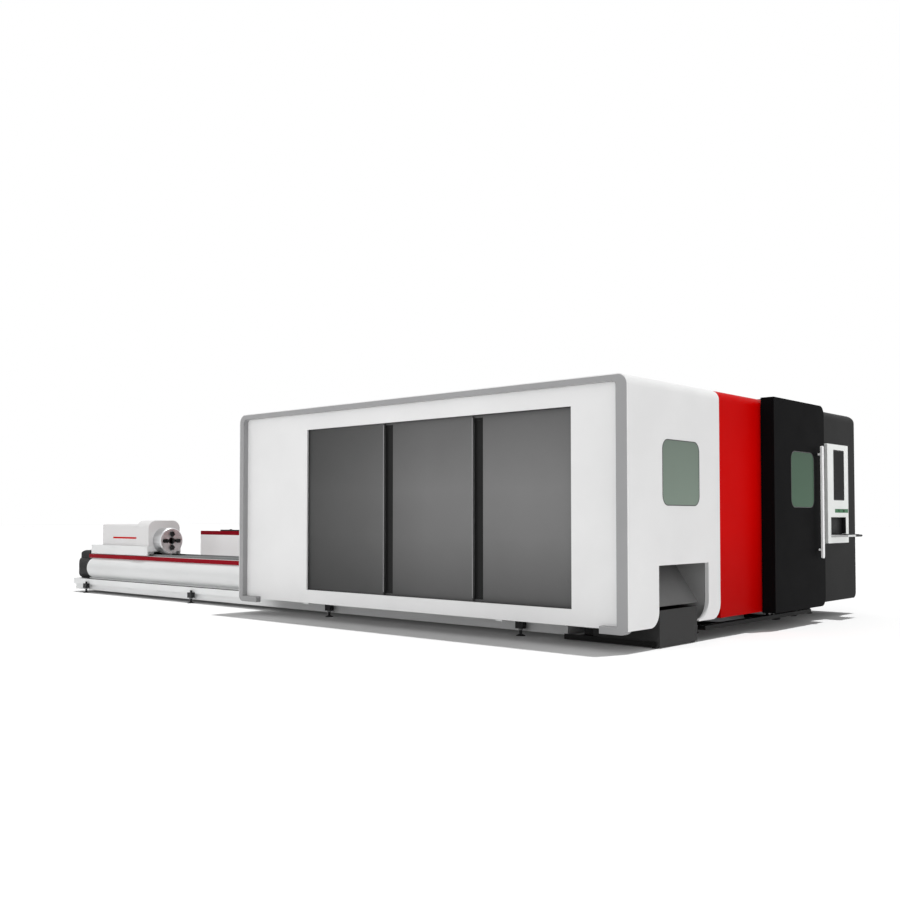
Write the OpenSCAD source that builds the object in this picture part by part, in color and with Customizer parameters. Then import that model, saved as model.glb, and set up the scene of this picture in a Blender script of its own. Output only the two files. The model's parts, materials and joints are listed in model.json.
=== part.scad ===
// Enclosed fiber laser cutting machine for sheet and tube.
// Lengths in millimetres, +Z up. X runs along the tube, Y from the leaf side to the back.
// All places are worked out from the right end face (x = 0), the front face (y = 0) and the
// floor (z = 0), and the whole machine is then set on the middle of its footprint.

/* [Enclosure] */
// Length of the enclosure along the tube
hood_l = 5475; // [5300:5:5800]
// Height of the enclosure panels
hood_h = 2200; // [2100:5:2400]
// Gap from the floor to the panels
floor_gap = 190; // [170:5:220]
// Width of the white tube hood
tube_hood_w = 1625; // [1560:5:1750]
// Least width of the red sheet hood
sheet_hood_w = 2155; // [2120:5:2300]
// Width of the utility cabinet
cabinet_w = 1280; // [1150:5:1400]
// Thickness of the enclosure walls
wall = 40; // [30:1:60]
// Radius of the upper corners of the enclosure
corner_r = 100; // [80:1:140]
// Radius of the back corners of the utility cabinet
cabinet_r = 70; // [50:1:90]

/* [Front border] */
// Depth of the border in front of the white wall
border_d = 65; // [50:1:90]
// Width of the right post
border_right = 120; // [90:1:160]
// Width of the left post
border_left = 78; // [60:1:120]
// Height of the top rail
border_top = 60; // [50:1:90]
// Thickness of the hood edge around the border
border_lip = 8; // [5:1:12]
// Length of the returns at the bottom corners
return_l = 300; // [200:5:400]
// Height of the returns
return_h = 65; // [50:1:90]
// Depth of the returns below the panels
border_drop = 36; // [20:1:60]

/* [Front leaves] */
// Distance from the left end of the enclosure to the opening
opening_left = 1185; // [1000:5:1400]
// Distance from the right end face to the opening
opening_right = 634; // [500:5:800]
// Height of the opening above the lower panel edge
opening_sill = 148; // [130:1:220]
// Distance from the opening to the top of the enclosure
opening_head = 240; // [200:1:320]
// Thickness of the front wall
panel_t = 20; // [12:1:30]
// Thickness of a sliding leaf
leaf_t = 20; // [16:1:26]
// Gap between two leaves
leaf_gap = 10; // [6:1:16]
// Overlap of neighbouring leaves
leaf_lap = 30; // [20:1:40]
// Width of the black edge strip of a leaf
pull_w = 110; // [80:1:140]
// Depth of the black edge strip in the leaf
pull_t = 8; // [5:1:10]

/* [End wall] */
// Distance from the front face to the window
win_y = 566; // [520:1:620]
// Width of the window
win_w = 659; // [600:1:700]
// Height of the window above the lower panel edge
win_z = 1073; // [1000:1:1150]
// Height of the window pane
win_h = 591; // [540:1:640]
// Corner radius of the windows
win_r = 90; // [60:1:120]
// Thickness of the window panes
glass_t = 12; // [8:1:16]
// Distance from the front face to the outlet slot
slot_y = 495; // [470:1:510]
// Width of the outlet slot
slot_w = 900; // [880:1:950]
// Height of the outlet slot
slot_h = 540; // [480:1:600]
// Corner radius of the wall left of the slot
slot_r = 140; // [100:1:170]

/* [Outlet] */
// Length of the parts bin
bin_l = 700; // [500:5:800]
// Width of the parts bin
bin_w = 665; // [600:1:720]
// Height of the parts bin
bin_h = 315; // [250:1:320]
// Wall of the parts bin
bin_t = 6; // [4:1:10]
// Thickness of the chute sheet
chute_t = 6; // [4:1:10]

/* [Front door] */
// Distance from the tube hood to the closed door
door_offset = 885; // [870:5:900]
// Depth of the door in front of the end face
door_d = 150; // [120:1:180]
// Running gap behind the door
door_gap = 8; // [6:1:12]
// Radius of the outer corners of the door
door_r = 100; // [70:1:120]
// Width of the door window
door_win_w = 580; // [500:1:620]
// Width of the door handle
handle_w = 46; // [40:1:80]
// Height of the door handle
handle_h = 1230; // [900:5:1300]
// Reach of the handle in front of the door
handle_d = 55; // [45:1:70]

/* [Utility cabinet] */
// Width of one service door
service_w = 900; // [700:5:1000]
// Height of the service doors
service_h = 1800; // [1600:5:1850]
// Thickness of the service doors
service_t = 30; // [24:1:36]
// Gap around the service doors
service_gap = 4; // [3:0.5:6]
// Radius of the hinge pins
pin_r = 4; // [3:0.5:5]

/* [Operator panel] */
// Width of the operator panel
hmi_w = 610; // [560:1:680]
// Height of the operator panel
hmi_h = 1140; // [1100:1:1200]
// Depth of the operator panel
hmi_d = 60; // [50:1:80]
// Distance from the cabinet side to the operator panel
hmi_y = 310; // [250:1:360]
// Height of the operator panel above the lower panel edge
hmi_z = 670; // [600:1:740]
// Reach of the keyboard tray from its hinge
tray_l = 205; // [180:1:215]
// Thickness of the keyboard tray
tray_t = 22; // [18:1:28]

/* [Sheet bed] */
// Width between the girders
bed_span = 1720; // [1700:5:1760]
// Width of a girder
girder_w = 160; // [140:1:180]
// Height of the girder top above the floor
girder_z = 1050; // [1000:5:1100]
// Size of the gantry rails
rail_s = 30; // [25:1:35]

/* [Gantry] */
// Distance from the right end face to the gantry at rest
gantry_x = 3000; // [2800:5:3200]
// Width of the gantry beam
beam_w = 250; // [200:5:300]
// Height of the gantry beam
beam_h = 300; // [250:5:350]
// Height of the trucks that carry the beam
truck_h = 200; // [180:5:240]
// Distance from the tube axis to the head at rest
head_y = 1720; // [1500:5:1800]

/* [Tube bed] */
// Distance from the right end face to the base beam
base_right = 1016; // [950:1:1100]
// Length of the base beam
base_l = 9464; // [9300:1:9600]
// Width of the base beam
base_w = 760; // [740:1:770]
// Height of the base beam above the floor
base_z = 42; // [30:1:60]
// Height of the base beam section
base_h = 168; // [140:1:190]
// Distance from the front face to the tube axis
tube_y = 880; // [870:1:890]
// Width of the bed between its covers
bed_w = 560; // [540:1:580]
// Height of the bed top above the floor
bed_z = 590; // [580:1:594]
// Outward bulge of the side covers
cover_bulge = 98; // [70:1:100]
// Height of the side covers
cover_h = 302; // [280:1:316]
// Height of the red stripe along the bed
stripe_h = 58; // [40:1:60]
// Length of the black end cap along the bed
cap_l = 290; // [260:1:330]

/* [Chucks] */
// Height of the tube axis above the floor
axis_z = 816; // [812:1:830]
// Outer radius of the chucks
chuck_r = 190; // [180:1:192]
// Length of a chuck drum
drum_l = 200; // [160:1:220]
// Bore radius of the moving chuck
rear_bore_r = 52; // [50:1:56]
// Bore radius of the fixed chuck
front_bore_r = 110; // [90:1:120]
// Distance from the left end of the base beam to the moving chuck at rest
chuck_x = 2160; // [2030:5:2230]
// Distance from the right end face to the fixed chuck
front_chuck_x = 1330; // [1300:5:1400]
// Width of a jaw
jaw_w = 58; // [50:1:64]
// Reach of a jaw in front of the drum
jaw_t = 40; // [30:1:50]
// Radius of the clamped section at rest
jaw_in = 60; // [56:1:62]
// Radial length of a jaw
jaw_l = 72; // [66:1:74]
// Running clearance of shafts
run_gap = 0.06; // [0.02:0.01:0.1]

/* [Exchange table] */
// Length of the exchange table
table_l = 3465; // [3400:5:3600]
// Height of the table top above the floor
table_z = 950; // [920:5:970]
// Thickness of the table side beams
table_beam = 60; // [50:1:80]
// Length of a pallet
pallet_l = 3250; // [3100:5:3300]
// Height of a pallet frame
pallet_h = 80; // [70:1:90]
// Distance between the two pallet levels
level_gap = 260; // [250:1:280]
// Pitch of the slats
slat_pitch = 125; // [100:1:160]
// Thickness of a slat
slat_t = 5; // [4:0.5:8]
// Pitch of the saw teeth on a slat
tooth_pitch = 75; // [60:1:100]

/* [Hidden] */
$fn = 64;
fit = 0.3;
cut = 1;
z_lo = floor_gap;
z_hi = floor_gap + hood_h;
y_red = tube_hood_w;
bed_room = 115;
sheet_w = max(sheet_hood_w, bed_span + 2 * girder_w + bed_room);
y_cab = y_red + sheet_w;
y_back = y_cab + cabinet_w;

// Front leaves and their tracks
track_wall = 10;
track_over = 40;
track_top_h = 50;
track_sill_h = 48;
leaf_head = 30;
leaf_foot = 20;
open_x0 = -hood_l + opening_left;
open_x1 = -opening_right;
open_z0 = z_lo + opening_sill;
open_z1 = z_hi - opening_head;
panel_back = border_d + panel_t;
leaf_w = (open_x1 - open_x0) / 3;
track_depth = 2 * track_wall + 3 * leaf_t + 2 * leaf_gap;
return_extra = 40;
return_left = return_l + return_extra;
border_in_r = 40;

// End wall
pane_rest = 20;
leg_fillet = 190;
leg_tip = 12;
leg_r = 150;

// Outlet, from the bed end to the bin
bin_y0 = slot_y + 5;
bin_floor = 14;
runner_t = 6;
runner_h = 46;
runner_w = 40;
runner_side = 20;
runner_end = -30;
leg_gap = 20;
leg_l = 120;
chute_in = 65;
chute_y0 = slot_y + chute_in;
chute_over = 5;
chute_y1 = slot_y + slot_w + chute_over;
chute_front = 110;
chute_back = 430;
chute_low = 165;
chute_high = 620;
cheek_h = 70;
cheek_gap = 5;
cheek_z0 = 200;

// Front door
door_y0 = y_red + door_offset;
door_y1 = y_cab;
door_w = door_y1 - door_y0;
door_z0 = z_lo - 10;
door_overlap = 120;
door_travel = door_w - door_overlap;
door_win_in = 400;
door_win_y = door_y0 + door_win_in;
doorway_in = 140;
doorway_out = 80;
doorway_sill = 110;
doorway_z0 = z_lo + doorway_sill;
doorway_head = 190;
doorway_z1 = z_hi - doorway_head;
door_rail_x0 = -90;
door_rail_x1 = -10;
door_rail_h = 40;
trolley_t = 10;
trolley_w = 200;
roller_r = 19;
roller_sink = 3;
roller_z = door_z0 - trolley_t - roller_r + roller_sink;
door_rail_z1 = roller_z - roller_r - fit;
guide_h = 6;
guide_in = 30;
guide_x = -corner_r - guide_in;
guide_slot = 12;
guide_w = 40;
arm_t = 4;
arm_w = 80;
handle_t = 22;
handle_up = 520;
handle_z0 = z_lo + handle_up;
handle_in = 190;
handle_y0 = door_y1 - handle_in;
rail_stop = 20;
bracket_w = 60;

// Utility cabinet and its hinges
service_x = -hood_l / 2;
service_up = 200;
service_z0 = z_lo + service_up;
knuckle_r = 2 * pin_r;
knuckle_l = 100;
hinge_off = 1;
hinge_y = y_back + knuckle_r + hinge_off;
hinge_leaf = 4;
hinge_plate = 60;
rack_w = 700;
source_w = 800;
source_h = 1100;
rack_h = 1700;
unit_d = 760;
unit_gap = 60;
fan_rows = 2;
fan_r = 170;
rack_rows = 4;
foot_in = 420;
latch_in = 60;
latch_w = 30;
latch_h = 180;
louvre_edge = 120;
louvre_count = 8;
louvre_pitch = 36;

// Operator panel
hmi_y0 = y_cab + hmi_y;
hmi_y1 = hmi_y0 + hmi_w;
hmi_z0 = z_lo + hmi_z;
hmi_z1 = hmi_z0 + hmi_h;
hmi_skin = 10;
hmi_r = 12;
screen_w = 300;
screen_h = 570;
screen_t = 8;
screen_in = 180;
screen_y0 = hmi_y0 + screen_in;
screen_up = 500;
screen_z0 = hmi_z0 + screen_up;
strip_h = 44;
strip_t = 8;
strip_in = 205;
strip_y0 = hmi_y0 + strip_in;
strip_up = 350;
strip_z0 = hmi_z0 + strip_up;
button_r = 14;
button_reach = 14;
button_travel = 4;
knob_r = 16;
knob_h = 26;
knob_up = 780;
knob_z = hmi_z0 + knob_up;
bay_left = 90;
bay_y0 = hmi_y0 + bay_left;
bay_right = 80;
bay_y1 = hmi_y1 - bay_right;
bay_up = 68;
bay_z0 = hmi_z0 + bay_up;
bay_top = 298;
bay_z1 = hmi_z0 + bay_top;
tray_gap = 6;
hinge_r = 5;
tray_in = 14;
tray_x = hmi_d - tray_in;
tray_z = bay_z0 + tray_gap + tray_t / 2;
hinge_pin = 12;
keys_h = 10;
keys_sink = 4;
keys_edge = 22;
key_rows = 5;
key_cols = 14;
key_gap = 3;

// Sheet bed, gantry and head
sheet_off = 17.5;
sheet_y = y_red + sheet_w / 2 + sheet_off;
bed_left_gap = 250;
bed_x0 = -hood_l + bed_left_gap;
bed_right_gap = 300;
bed_x1 = -bed_right_gap;
girder_z0 = 80;
ledge_w = 40;
ledge_h = 20;
girder_in0 = sheet_y - bed_span / 2;
girder_in1 = sheet_y + bed_span / 2;
tie_w = 160;
tie_h = 320;
rail_over = 75;
truck_l = 370;
truck_w = 120;
truck_gap = 2;
beam_z0 = girder_z + truck_h;
beam_reach = 240;
beam_y0 = tube_y - beam_reach;
beam_short = 20;
beam_y1 = girder_in1 + girder_w - beam_short;
guide_s = 20;
guide_d = 15;
head_mid = tube_y + head_y;
plate_w = 340;
plate_t = 60;
plate_up = 15;
plate_z0 = beam_z0 + plate_up;
plate_h = 375;
head_x = -gantry_x + beam_w / 2 + guide_d + plate_t;
ram_w = 140;
ram_t = 24;
ram_h = 800;
ram_rail_w = 30;
ram_rail_t = 12;
ram_drop = 65;
ram_z0 = plate_z0 - ram_drop;
body_d = 100;
body_w = 110;
body_h = 300;
nozzle_h = 90;
nozzle_r = 7;
guide_edge = 50;
guide_heights = [beam_z0 + guide_edge, beam_z0 + beam_h - guide_edge];
block_out = 2;
guide_block_l = 90;
beam_pockets = 6;
beam_rib = 50;
bed_ties = 3;

// Tube bed
base_x0 = -base_right - base_l;
base_x1 = -base_right;
base_z1 = base_z + base_h;
cap_in = 20;
bed_end = base_x0 + cap_in + cap_l;
cover_z0 = bed_z - stripe_h - 4 - cover_h;
stripe_t = 10;
base_step = 40;
base_step_h = 84;
cap_rise = 56;
cap_wing = 90;
cap_top_r = 120;
cap_foot_r = 70;
way_y = 190;
way_w = 40;
way_h = 30;
way_stop = 480;
way_end = front_chuck_x + way_stop;
foot_left = 450;
foot_right = 514;
foot_pitch = (base_l - foot_left - foot_right) / 3;
foot_first = base_x0 + foot_left;
foot_out = 30;
pad_r = 45;
pad_h = 12;
stem_r = 14;
lug_h = 100;
lug_w = 90;
arm_h = 36;
arm_bar = 80;
tie_up = 40;
tie_z0 = base_z + tie_up;

// Chucks and their carriage
drum_bevel = 14;
spigot_r = 78;
front_spigot_r = 150;
spigot_l = 190;
slot_d = 25;
slot_half = 20;
slot_rim = 40;
slot_out = chuck_r - slot_rim;
front_jaw_in = 76;
spigot_seat = spigot_r + run_gap;
front_drum_l = 80;
block_l = 330;
front_block_h = 375;
housing_l = 1000;
housing_h = 320;
housing_w = 480;
front_block_w = 520;
housing_r = 30;
front_block_r = 120;
chuck_face = base_x0 + chuck_x;
drum_x0 = chuck_face - drum_l;
deck_tail = 275;
plate_x0 = drum_x0 - block_l - housing_l - deck_tail;
slide_t = 75;
slide_z0 = bed_z + way_h;
deck_gap = 40;
deck_z0 = slide_z0 + deck_gap;
deck_z1 = deck_z0 + slide_t;
slide_l = 220;
slide_w = 100;
skirt_t = 12;
skirt_gap = 8;
trim_gap = 30;
trim_l = 660;
trim_h = 24;
trim_t = 3;
stand_l = 350;
stand_w = 500;
stand_rim = 14;
stand_top = axis_z + chuck_r + stand_rim;

// Exchange table and pallets
table_x1 = -hood_l;
table_x0 = table_x1 - table_l;
side_y0 = girder_in0 - table_beam;
side_y1 = girder_in1 + table_beam;
skin_t = 10;
band_h = 60;
skin_z0 = 250;
side_z0 = 520;
leg_w = 100;
pallet_drop = 100;
upper_z = table_z - pallet_drop;
lower_z = upper_z - level_gap;
pallet_gap = 10;
pallet_y0 = girder_in0 + pallet_gap;
pallet_y1 = girder_in1 - pallet_gap;
pallet_stroke = 4200;
pallet_in = 150;
pallet_x0 = table_x0 + pallet_in;
bar_w = 60;
slat_count = floor((pallet_l - 2 * bar_w) / slat_pitch) - 1;
comb_t = 15;
comb_z = 22;
slat_play = 0.5;
slat_h = 78;
tooth_h = 28;
gate_gap = 50;
gate_z0 = lower_z - gate_gap;
gate_z1 = table_z + gate_gap;
tube_gate_gap = 30;
drive_l = 460;
drive_h = 20;
drive_from = 510;
leg_z0 = 80;

// Footprint
x_lo = base_x0;
x_hi = tray_x + tray_l;
y_hi = hinge_y + knuckle_r;
ox = -(x_lo + x_hi) / 2;
oy = -y_hi / 2;

white = [0.9, 0.9, 0.9];
light = [0.8, 0.8, 0.8];
grey = [0.6, 0.6, 0.61];
dark = [0.3, 0.3, 0.3];
black = [0.1, 0.1, 0.1];
red = [0.75, 0.02, 0.02];
steel = [0.55, 0.56, 0.58];
green = [0.42, 0.5, 0.44];

// Sets the machine on the middle of its footprint
module placed() {
    translate([ox, oy, 0]) children();
}

// Extrudes an outline in x and z from y0 to y1
module along_y(y0, y1) {
    translate([0, y1, 0]) rotate([90, 0, 0]) linear_extrude(y1 - y0) children();
}

// Extrudes an outline in y and z from x0 to x1
module along_x(x0, x1) {
    translate([x0, 0, 0]) rotate([90, 0, 90]) linear_extrude(x1 - x0) children();
}

// Box between two corners
module box(a, b) {
    translate(a) cube(b - a);
}

// Rectangle between two corners
module rect(a, b) {
    translate(a) square(b - a);
}

// Waste of a rounded corner at p, where s points from the corner into the plate
module corner_waste(p, s, r) {
    difference() {
        rect([min(p[0] - s[0] * cut, p[0] + s[0] * r), min(p[1] - s[1] * cut, p[1] + s[1] * r)],
             [max(p[0] - s[0] * cut, p[0] + s[0] * r), max(p[1] - s[1] * cut, p[1] + s[1] * r)]);
        translate([p[0] + s[0] * r, p[1] + s[1] * r]) circle(r);
    }
}

// Rectangle with its own radius at each corner
module rounded(a, b, bl = 0, br = 0, tr = 0, tl = 0) {
    difference() {
        rect(a, b);
        if (bl > 0) corner_waste(a, [1, 1], bl);
        if (br > 0) corner_waste([b[0], a[1]], [-1, 1], br);
        if (tr > 0) corner_waste(b, [-1, -1], tr);
        if (tl > 0) corner_waste([a[0], b[1]], [1, -1], tl);
    }
}

// Outer outline of the enclosure in x and z
module hood_outline() {
    rounded([-hood_l, z_lo], [0, z_hi], tr = corner_r, tl = corner_r);
}

// Space under the enclosure skin, open at the bottom
module hood_space(inset) {
    r = corner_r - inset;
    rounded([-hood_l + inset, z_lo - cut], [-inset, z_hi - inset], tr = r, tl = r);
}

// Window outline of the end wall in y and z
module window_outline(inset = 0) {
    r = win_r - inset;
    rounded([win_y + inset, z_lo + win_z + inset],
            [win_y + win_w - inset, z_lo + win_z + win_h - inset], r, r, r, r);
}

// Window outline of the front door in y and z
module door_window_outline(inset = 0) {
    r = win_r - inset;
    rounded([door_win_y + inset, z_lo + win_z + inset],
            [door_win_y + door_win_w - inset, z_lo + win_z + win_h - inset], r, r, r, r);
}

// Outlet slot in y and z: open below, rounded leg on the left and swept leg on the right
module outlet_slot() {
    right = slot_y + slot_w;
    difference() {
        rect([slot_y, z_lo - cut], [right, z_lo + slot_h]);
        difference() {
            rect([right - leg_fillet, z_lo - 2 * cut], [right + cut, z_lo + leg_tip + leg_fillet]);
            translate([right - leg_fillet, z_lo + leg_tip + leg_fillet]) circle(leg_fillet);
        }
    }
    corner_waste([slot_y, z_lo], [-1, 1], slot_r);
    corner_waste([y_red, z_lo], [-1, 1], leg_r);
}

module tube_hood() {
    gate = base_w / 2 + tube_gate_gap;
    color(white) placed() difference() {
        along_y(0, y_red) hood_outline();
        along_y(border_d, y_red + cut) hood_space(wall);
        along_y(-cut, border_d) hood_space(border_lip);
        along_x(-wall - cut, cut) outlet_slot();
        along_x(-wall - cut, cut) window_outline(pane_rest);
        along_x(-glass_t, cut) window_outline();
        box([-hood_l - cut, tube_y - gate, z_lo - cut],
            [-hood_l + wall + cut, tube_y + gate, deck_z1 + front_block_h + tube_gate_gap]);
    }
}

module hood_front_panel() {
    r = corner_r - wall;
    color(white) placed() along_y(border_d, panel_back) difference() {
        rounded([-hood_l + wall + fit, z_lo], [-wall - fit, z_hi - wall - fit], tr = r, tl = r);
        rect([open_x0, open_z0], [open_x1, open_z1]);
    }
}

module edge_border() {
    in = border_lip + fit;
    r = corner_r - border_lip;
    z_ret = z_lo - border_drop;
    color(grey) placed() along_y(0, border_d) difference() {
        rounded([-hood_l + in, z_ret], [-in, z_hi - in], return_h, return_h, r, r);
        rounded([-hood_l + border_left, z_ret + return_h], [-border_right, z_hi - border_top],
                tr = border_in_r, tl = border_in_r);
        rect([-hood_l + return_left, z_ret - cut], [-return_l, z_ret + return_h + cut]);
    }
}

// Front side of leaf number i, counted from the left
function leaf_y(i) = panel_back + track_wall + i * (leaf_t + leaf_gap);
function leaf_x0(i) = open_x0 + i * leaf_w - leaf_lap;
function leaf_x1(i) = open_x0 + (i + 1) * leaf_w + (i == 2 ? leaf_lap : 0);

module door_tracks() {
    play = 0.5;
    x0 = open_x0 - track_over;
    x1 = open_x1 + track_over;
    color(dark) placed() difference() {
        union() {
            box([x0, panel_back, open_z1], [x1, panel_back + track_depth, open_z1 + track_top_h]);
            box([x0, panel_back, open_z0 - track_sill_h], [x1, panel_back + track_depth, open_z0]);
        }
        for (i = [0:2])
            box([x0 - cut, leaf_y(i) - play, open_z0 - leaf_foot],
                [x1 + cut, leaf_y(i) + leaf_t + play, open_z1 + leaf_head + 2 * play]);
    }
}

module door_leaf(i) {
    strip_x = leaf_x0(i) + leaf_lap;
    color(dark) placed() difference() {
        box([leaf_x0(i), leaf_y(i), open_z0 - leaf_foot],
            [leaf_x1(i), leaf_y(i) + leaf_t, open_z1 + leaf_head]);
        if (i > 0)
            box([strip_x, leaf_y(i) - cut, open_z0 + leaf_foot],
                [strip_x + pull_w, leaf_y(i) + pull_t, open_z1 - leaf_foot]);
    }
}

// Edge strip with a finger groove down its length
module leaf_strip(i) {
    strip_x = leaf_x0(i) + leaf_lap;
    groove = pull_w / 4;
    color(black) placed() difference() {
        box([strip_x + fit, leaf_y(i), open_z0 + leaf_foot + fit],
            [strip_x + pull_w - fit, leaf_y(i) + pull_t, open_z1 - leaf_foot - fit]);
        box([strip_x + groove, leaf_y(i) - cut, open_z0 + leaf_foot + groove],
            [strip_x + pull_w - groove, leaf_y(i) + pull_t / 2, open_z1 - leaf_foot - groove]);
    }
}

module door_leaf_left() {
    door_leaf(0);
}

module door_leaf_middle() {
    door_leaf(1);
}

module door_leaf_right() {
    door_leaf(2);
}

module middle_leaf_strip() {
    leaf_strip(1);
}

module right_leaf_strip() {
    leaf_strip(2);
}

module hood_window() {
    color(green) placed() along_x(-glass_t, 0) window_outline(fit);
}

// Sloping sheet between two cheeks on a cross bar, with the two runners of the bin
module outlet_chute() {
    bin_y1 = bin_y0 + bin_w;
    leg_x1 = -bin_l - leg_gap;
    leg_x0 = leg_x1 - leg_l;
    run_z = bin_floor + runner_h;
    low = [-chute_front, z_lo + chute_low];
    high = [-chute_back, z_lo + chute_high];
    slope = [0, -chute_t];
    cheek_z1 = high[1] + cheek_h;
    cheek_x1 = -wall - cheek_gap;
    color(dark) placed() {
        along_y(chute_y0, chute_y1) polygon([low, high, high + slope, low + slope]);
        along_y(chute_y0, chute_y0 + chute_t) polygon([
            low + slope, low + [0, cheek_h], high + [0, cheek_h], [leg_x0, cheek_z1],
            [leg_x0, run_z], [leg_x1, run_z], [leg_x1, high[1]], high + slope
        ]);
        along_y(chute_y1 - chute_t, chute_y1) polygon([
            [cheek_x1, cheek_z0], [cheek_x1, cheek_z1], [leg_x0, cheek_z1],
            [leg_x0, run_z], [leg_x1, run_z], [leg_x1, cheek_z0]
        ]);
        box([leg_x0, bin_y0 - runner_side, bin_floor - runner_t], [leg_x1, chute_y1, run_z]);
        for (side = [0, 1]) {
            y_out = side == 0 ? bin_y0 - runner_side : bin_y1 + runner_side - runner_t;
            y_in = side == 0 ? bin_y0 - runner_side : bin_y1 - runner_w;
            box([base_x1, y_out, bin_floor - runner_t], [runner_end, y_out + runner_t, run_z]);
            box([base_x1, y_in, bin_floor - runner_t],
                [runner_end, y_in + runner_w + runner_side, bin_floor]);
            box([runner_end - runner_w, y_in, 0],
                [runner_end, y_in + runner_w + runner_side, bin_floor - runner_t]);
        }
    }
}

module parts_bin() {
    color(dark) placed() difference() {
        box([-bin_l, bin_y0, bin_floor], [0, bin_y0 + bin_w, bin_floor + bin_h]);
        box([-bin_l + bin_t, bin_y0 + bin_t, bin_floor + bin_t],
            [-bin_t, bin_y0 + bin_w - bin_t, bin_floor + bin_h + cut]);
    }
}

module sheet_hood() {
    color(red) placed() difference() {
        along_y(y_red, y_cab) hood_outline();
        along_y(y_red - cut, y_cab + cut) hood_space(wall);
        box([-wall - cut, door_y0 + doorway_in, doorway_z0], [cut, door_y1 - doorway_out, doorway_z1]);
        box([-hood_l - cut, girder_in0, gate_z0], [-hood_l + wall + cut, girder_in1, gate_z1]);
    }
}

// Lower running rail on brackets from the sheet bed, and the slotted guide on the roof
module front_door_rails() {
    y0 = door_y0 - door_travel - rail_stop;
    rail_z0 = door_rail_z1 - door_rail_h;
    color(steel) placed() {
        box([door_rail_x0, y0, rail_z0], [door_rail_x1, door_y1 - rail_stop, door_rail_z1]);
        for (y = [girder_in0 - girder_w, sheet_y, girder_in1])
            box([bed_x1, y, rail_z0], [door_rail_x0, y + bracket_w, door_rail_z1]);
        difference() {
            box([guide_x - guide_w / 2, y0, z_hi],
                [guide_x + guide_w / 2, door_y1 - rail_stop, z_hi + guide_h]);
            box([guide_x - guide_slot / 2, y0 - cut, z_hi + cut],
                [guide_x + guide_slot / 2, door_y1, z_hi + guide_h + cut]);
        }
    }
}

module front_door_panel() {
    color(black) placed() difference() {
        along_x(door_gap, door_d) rounded([door_y0, door_z0], [door_y1, z_hi], br = door_r, tr = door_r);
        along_x(0, door_d + cut) door_window_outline(pane_rest);
        along_x(door_d - glass_t, door_d + cut) door_window_outline();
    }
}

// Two roller brackets under the door and two guide arms over its top
module front_door_trolleys() {
    roller_x = (door_rail_x0 + door_rail_x1) / 2;
    pin_play = 1;
    for (y = [door_y0 + trolley_w, door_y1 - 2 * trolley_w])
        color(steel) placed() {
            box([door_rail_x0 + trolley_t, y, door_z0 - trolley_t],
                [door_d - door_r / 2, y + trolley_w, door_z0]);
            for (dy = [0.25, 0.75])
                translate([roller_x - roller_r - cut, y + dy * trolley_w, roller_z])
                    rotate([0, 90, 0]) cylinder(r = roller_r, h = 2 * roller_r + 2 * cut);
            for (dx = [-roller_r - trolley_t, roller_r])
                box([roller_x + dx, y, roller_z - roller_sink],
                    [roller_x + dx + trolley_t, y + trolley_w, door_z0 - trolley_t + cut]);
        }
    for (y = [door_y0 + trolley_w, door_y1 - 2 * trolley_w])
        color(steel) placed() {
            box([door_gap, y, z_hi], [door_d / 2, y + arm_w, z_hi + guide_h + arm_t]);
            box([guide_x - guide_w / 2, y, z_hi + guide_h + pin_play],
                [door_d / 2, y + arm_w, z_hi + guide_h + arm_t]);
            translate([guide_x, y + arm_w / 2, z_hi + 2 * pin_play])
                cylinder(d = guide_slot - pin_play, h = guide_h);
        }
}

module front_door_glass() {
    color(green) placed() along_x(door_d - glass_t, door_d) door_window_outline(fit);
}

// Flat bar with rounded ends on two posts
module front_door_handle() {
    post = handle_w / 2;
    r = handle_w / 2 - 1;
    y1 = handle_y0 + handle_w;
    z1 = handle_z0 + handle_h;
    color(white) placed() {
        along_x(door_d + handle_d - handle_t, door_d + handle_d)
            rounded([handle_y0, handle_z0], [y1, z1], r, r, r, r);
        for (z = [handle_z0 + 2 * handle_w, z1 - 2 * handle_w])
            translate([door_d, handle_y0 + handle_w / 2, z])
                rotate([0, 90, 0]) cylinder(r = post / 2, h = handle_d - handle_t + cut);
    }
}

// Heights of the three hinges of a service door
function hinge_z(i) = service_z0 + service_h * (1 + 2 * i) / 6;

// Hinge axis of a service door, for side -1 on the left and +1 on the right
function hinge_x(side) = service_x + side * service_w;

module utility_cabinet() {
    in_z = z_lo + wall;
    color(dark) placed() {
        difference() {
            intersection() {
                along_y(y_cab, y_back) hood_outline();
                along_x(-hood_l, 0)
                    rounded([y_cab, z_lo], [y_back, z_hi], br = cabinet_r, tr = cabinet_r);
            }
            box([-hood_l + wall, y_cab + wall, in_z], [-wall, y_back - wall, z_hi - wall]);
            box([service_x - service_w, y_back - wall - cut, service_z0],
                [service_x + service_w, y_back + cut, service_z0 + service_h]);
        }
        for (side = [-1, 1], i = [0:2])
            translate([hinge_x(side), hinge_y, hinge_z(i)]) {
                cylinder(r = pin_r, h = 2 * knuckle_l, center = true);
                for (s = [-1, 1]) {
                    translate([0, 0, s * 0.75 * knuckle_l + s * fit])
                        cylinder(r = knuckle_r, h = knuckle_l / 2, center = true);
                    translate([side * hinge_plate / 2, (hinge_leaf - cut) / 2 - knuckle_r - hinge_off,
                               s * (0.75 * knuckle_l + fit)])
                        cube([hinge_plate, hinge_leaf + cut, knuckle_l / 2], center = true);
                }
            }
    }
}

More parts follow.
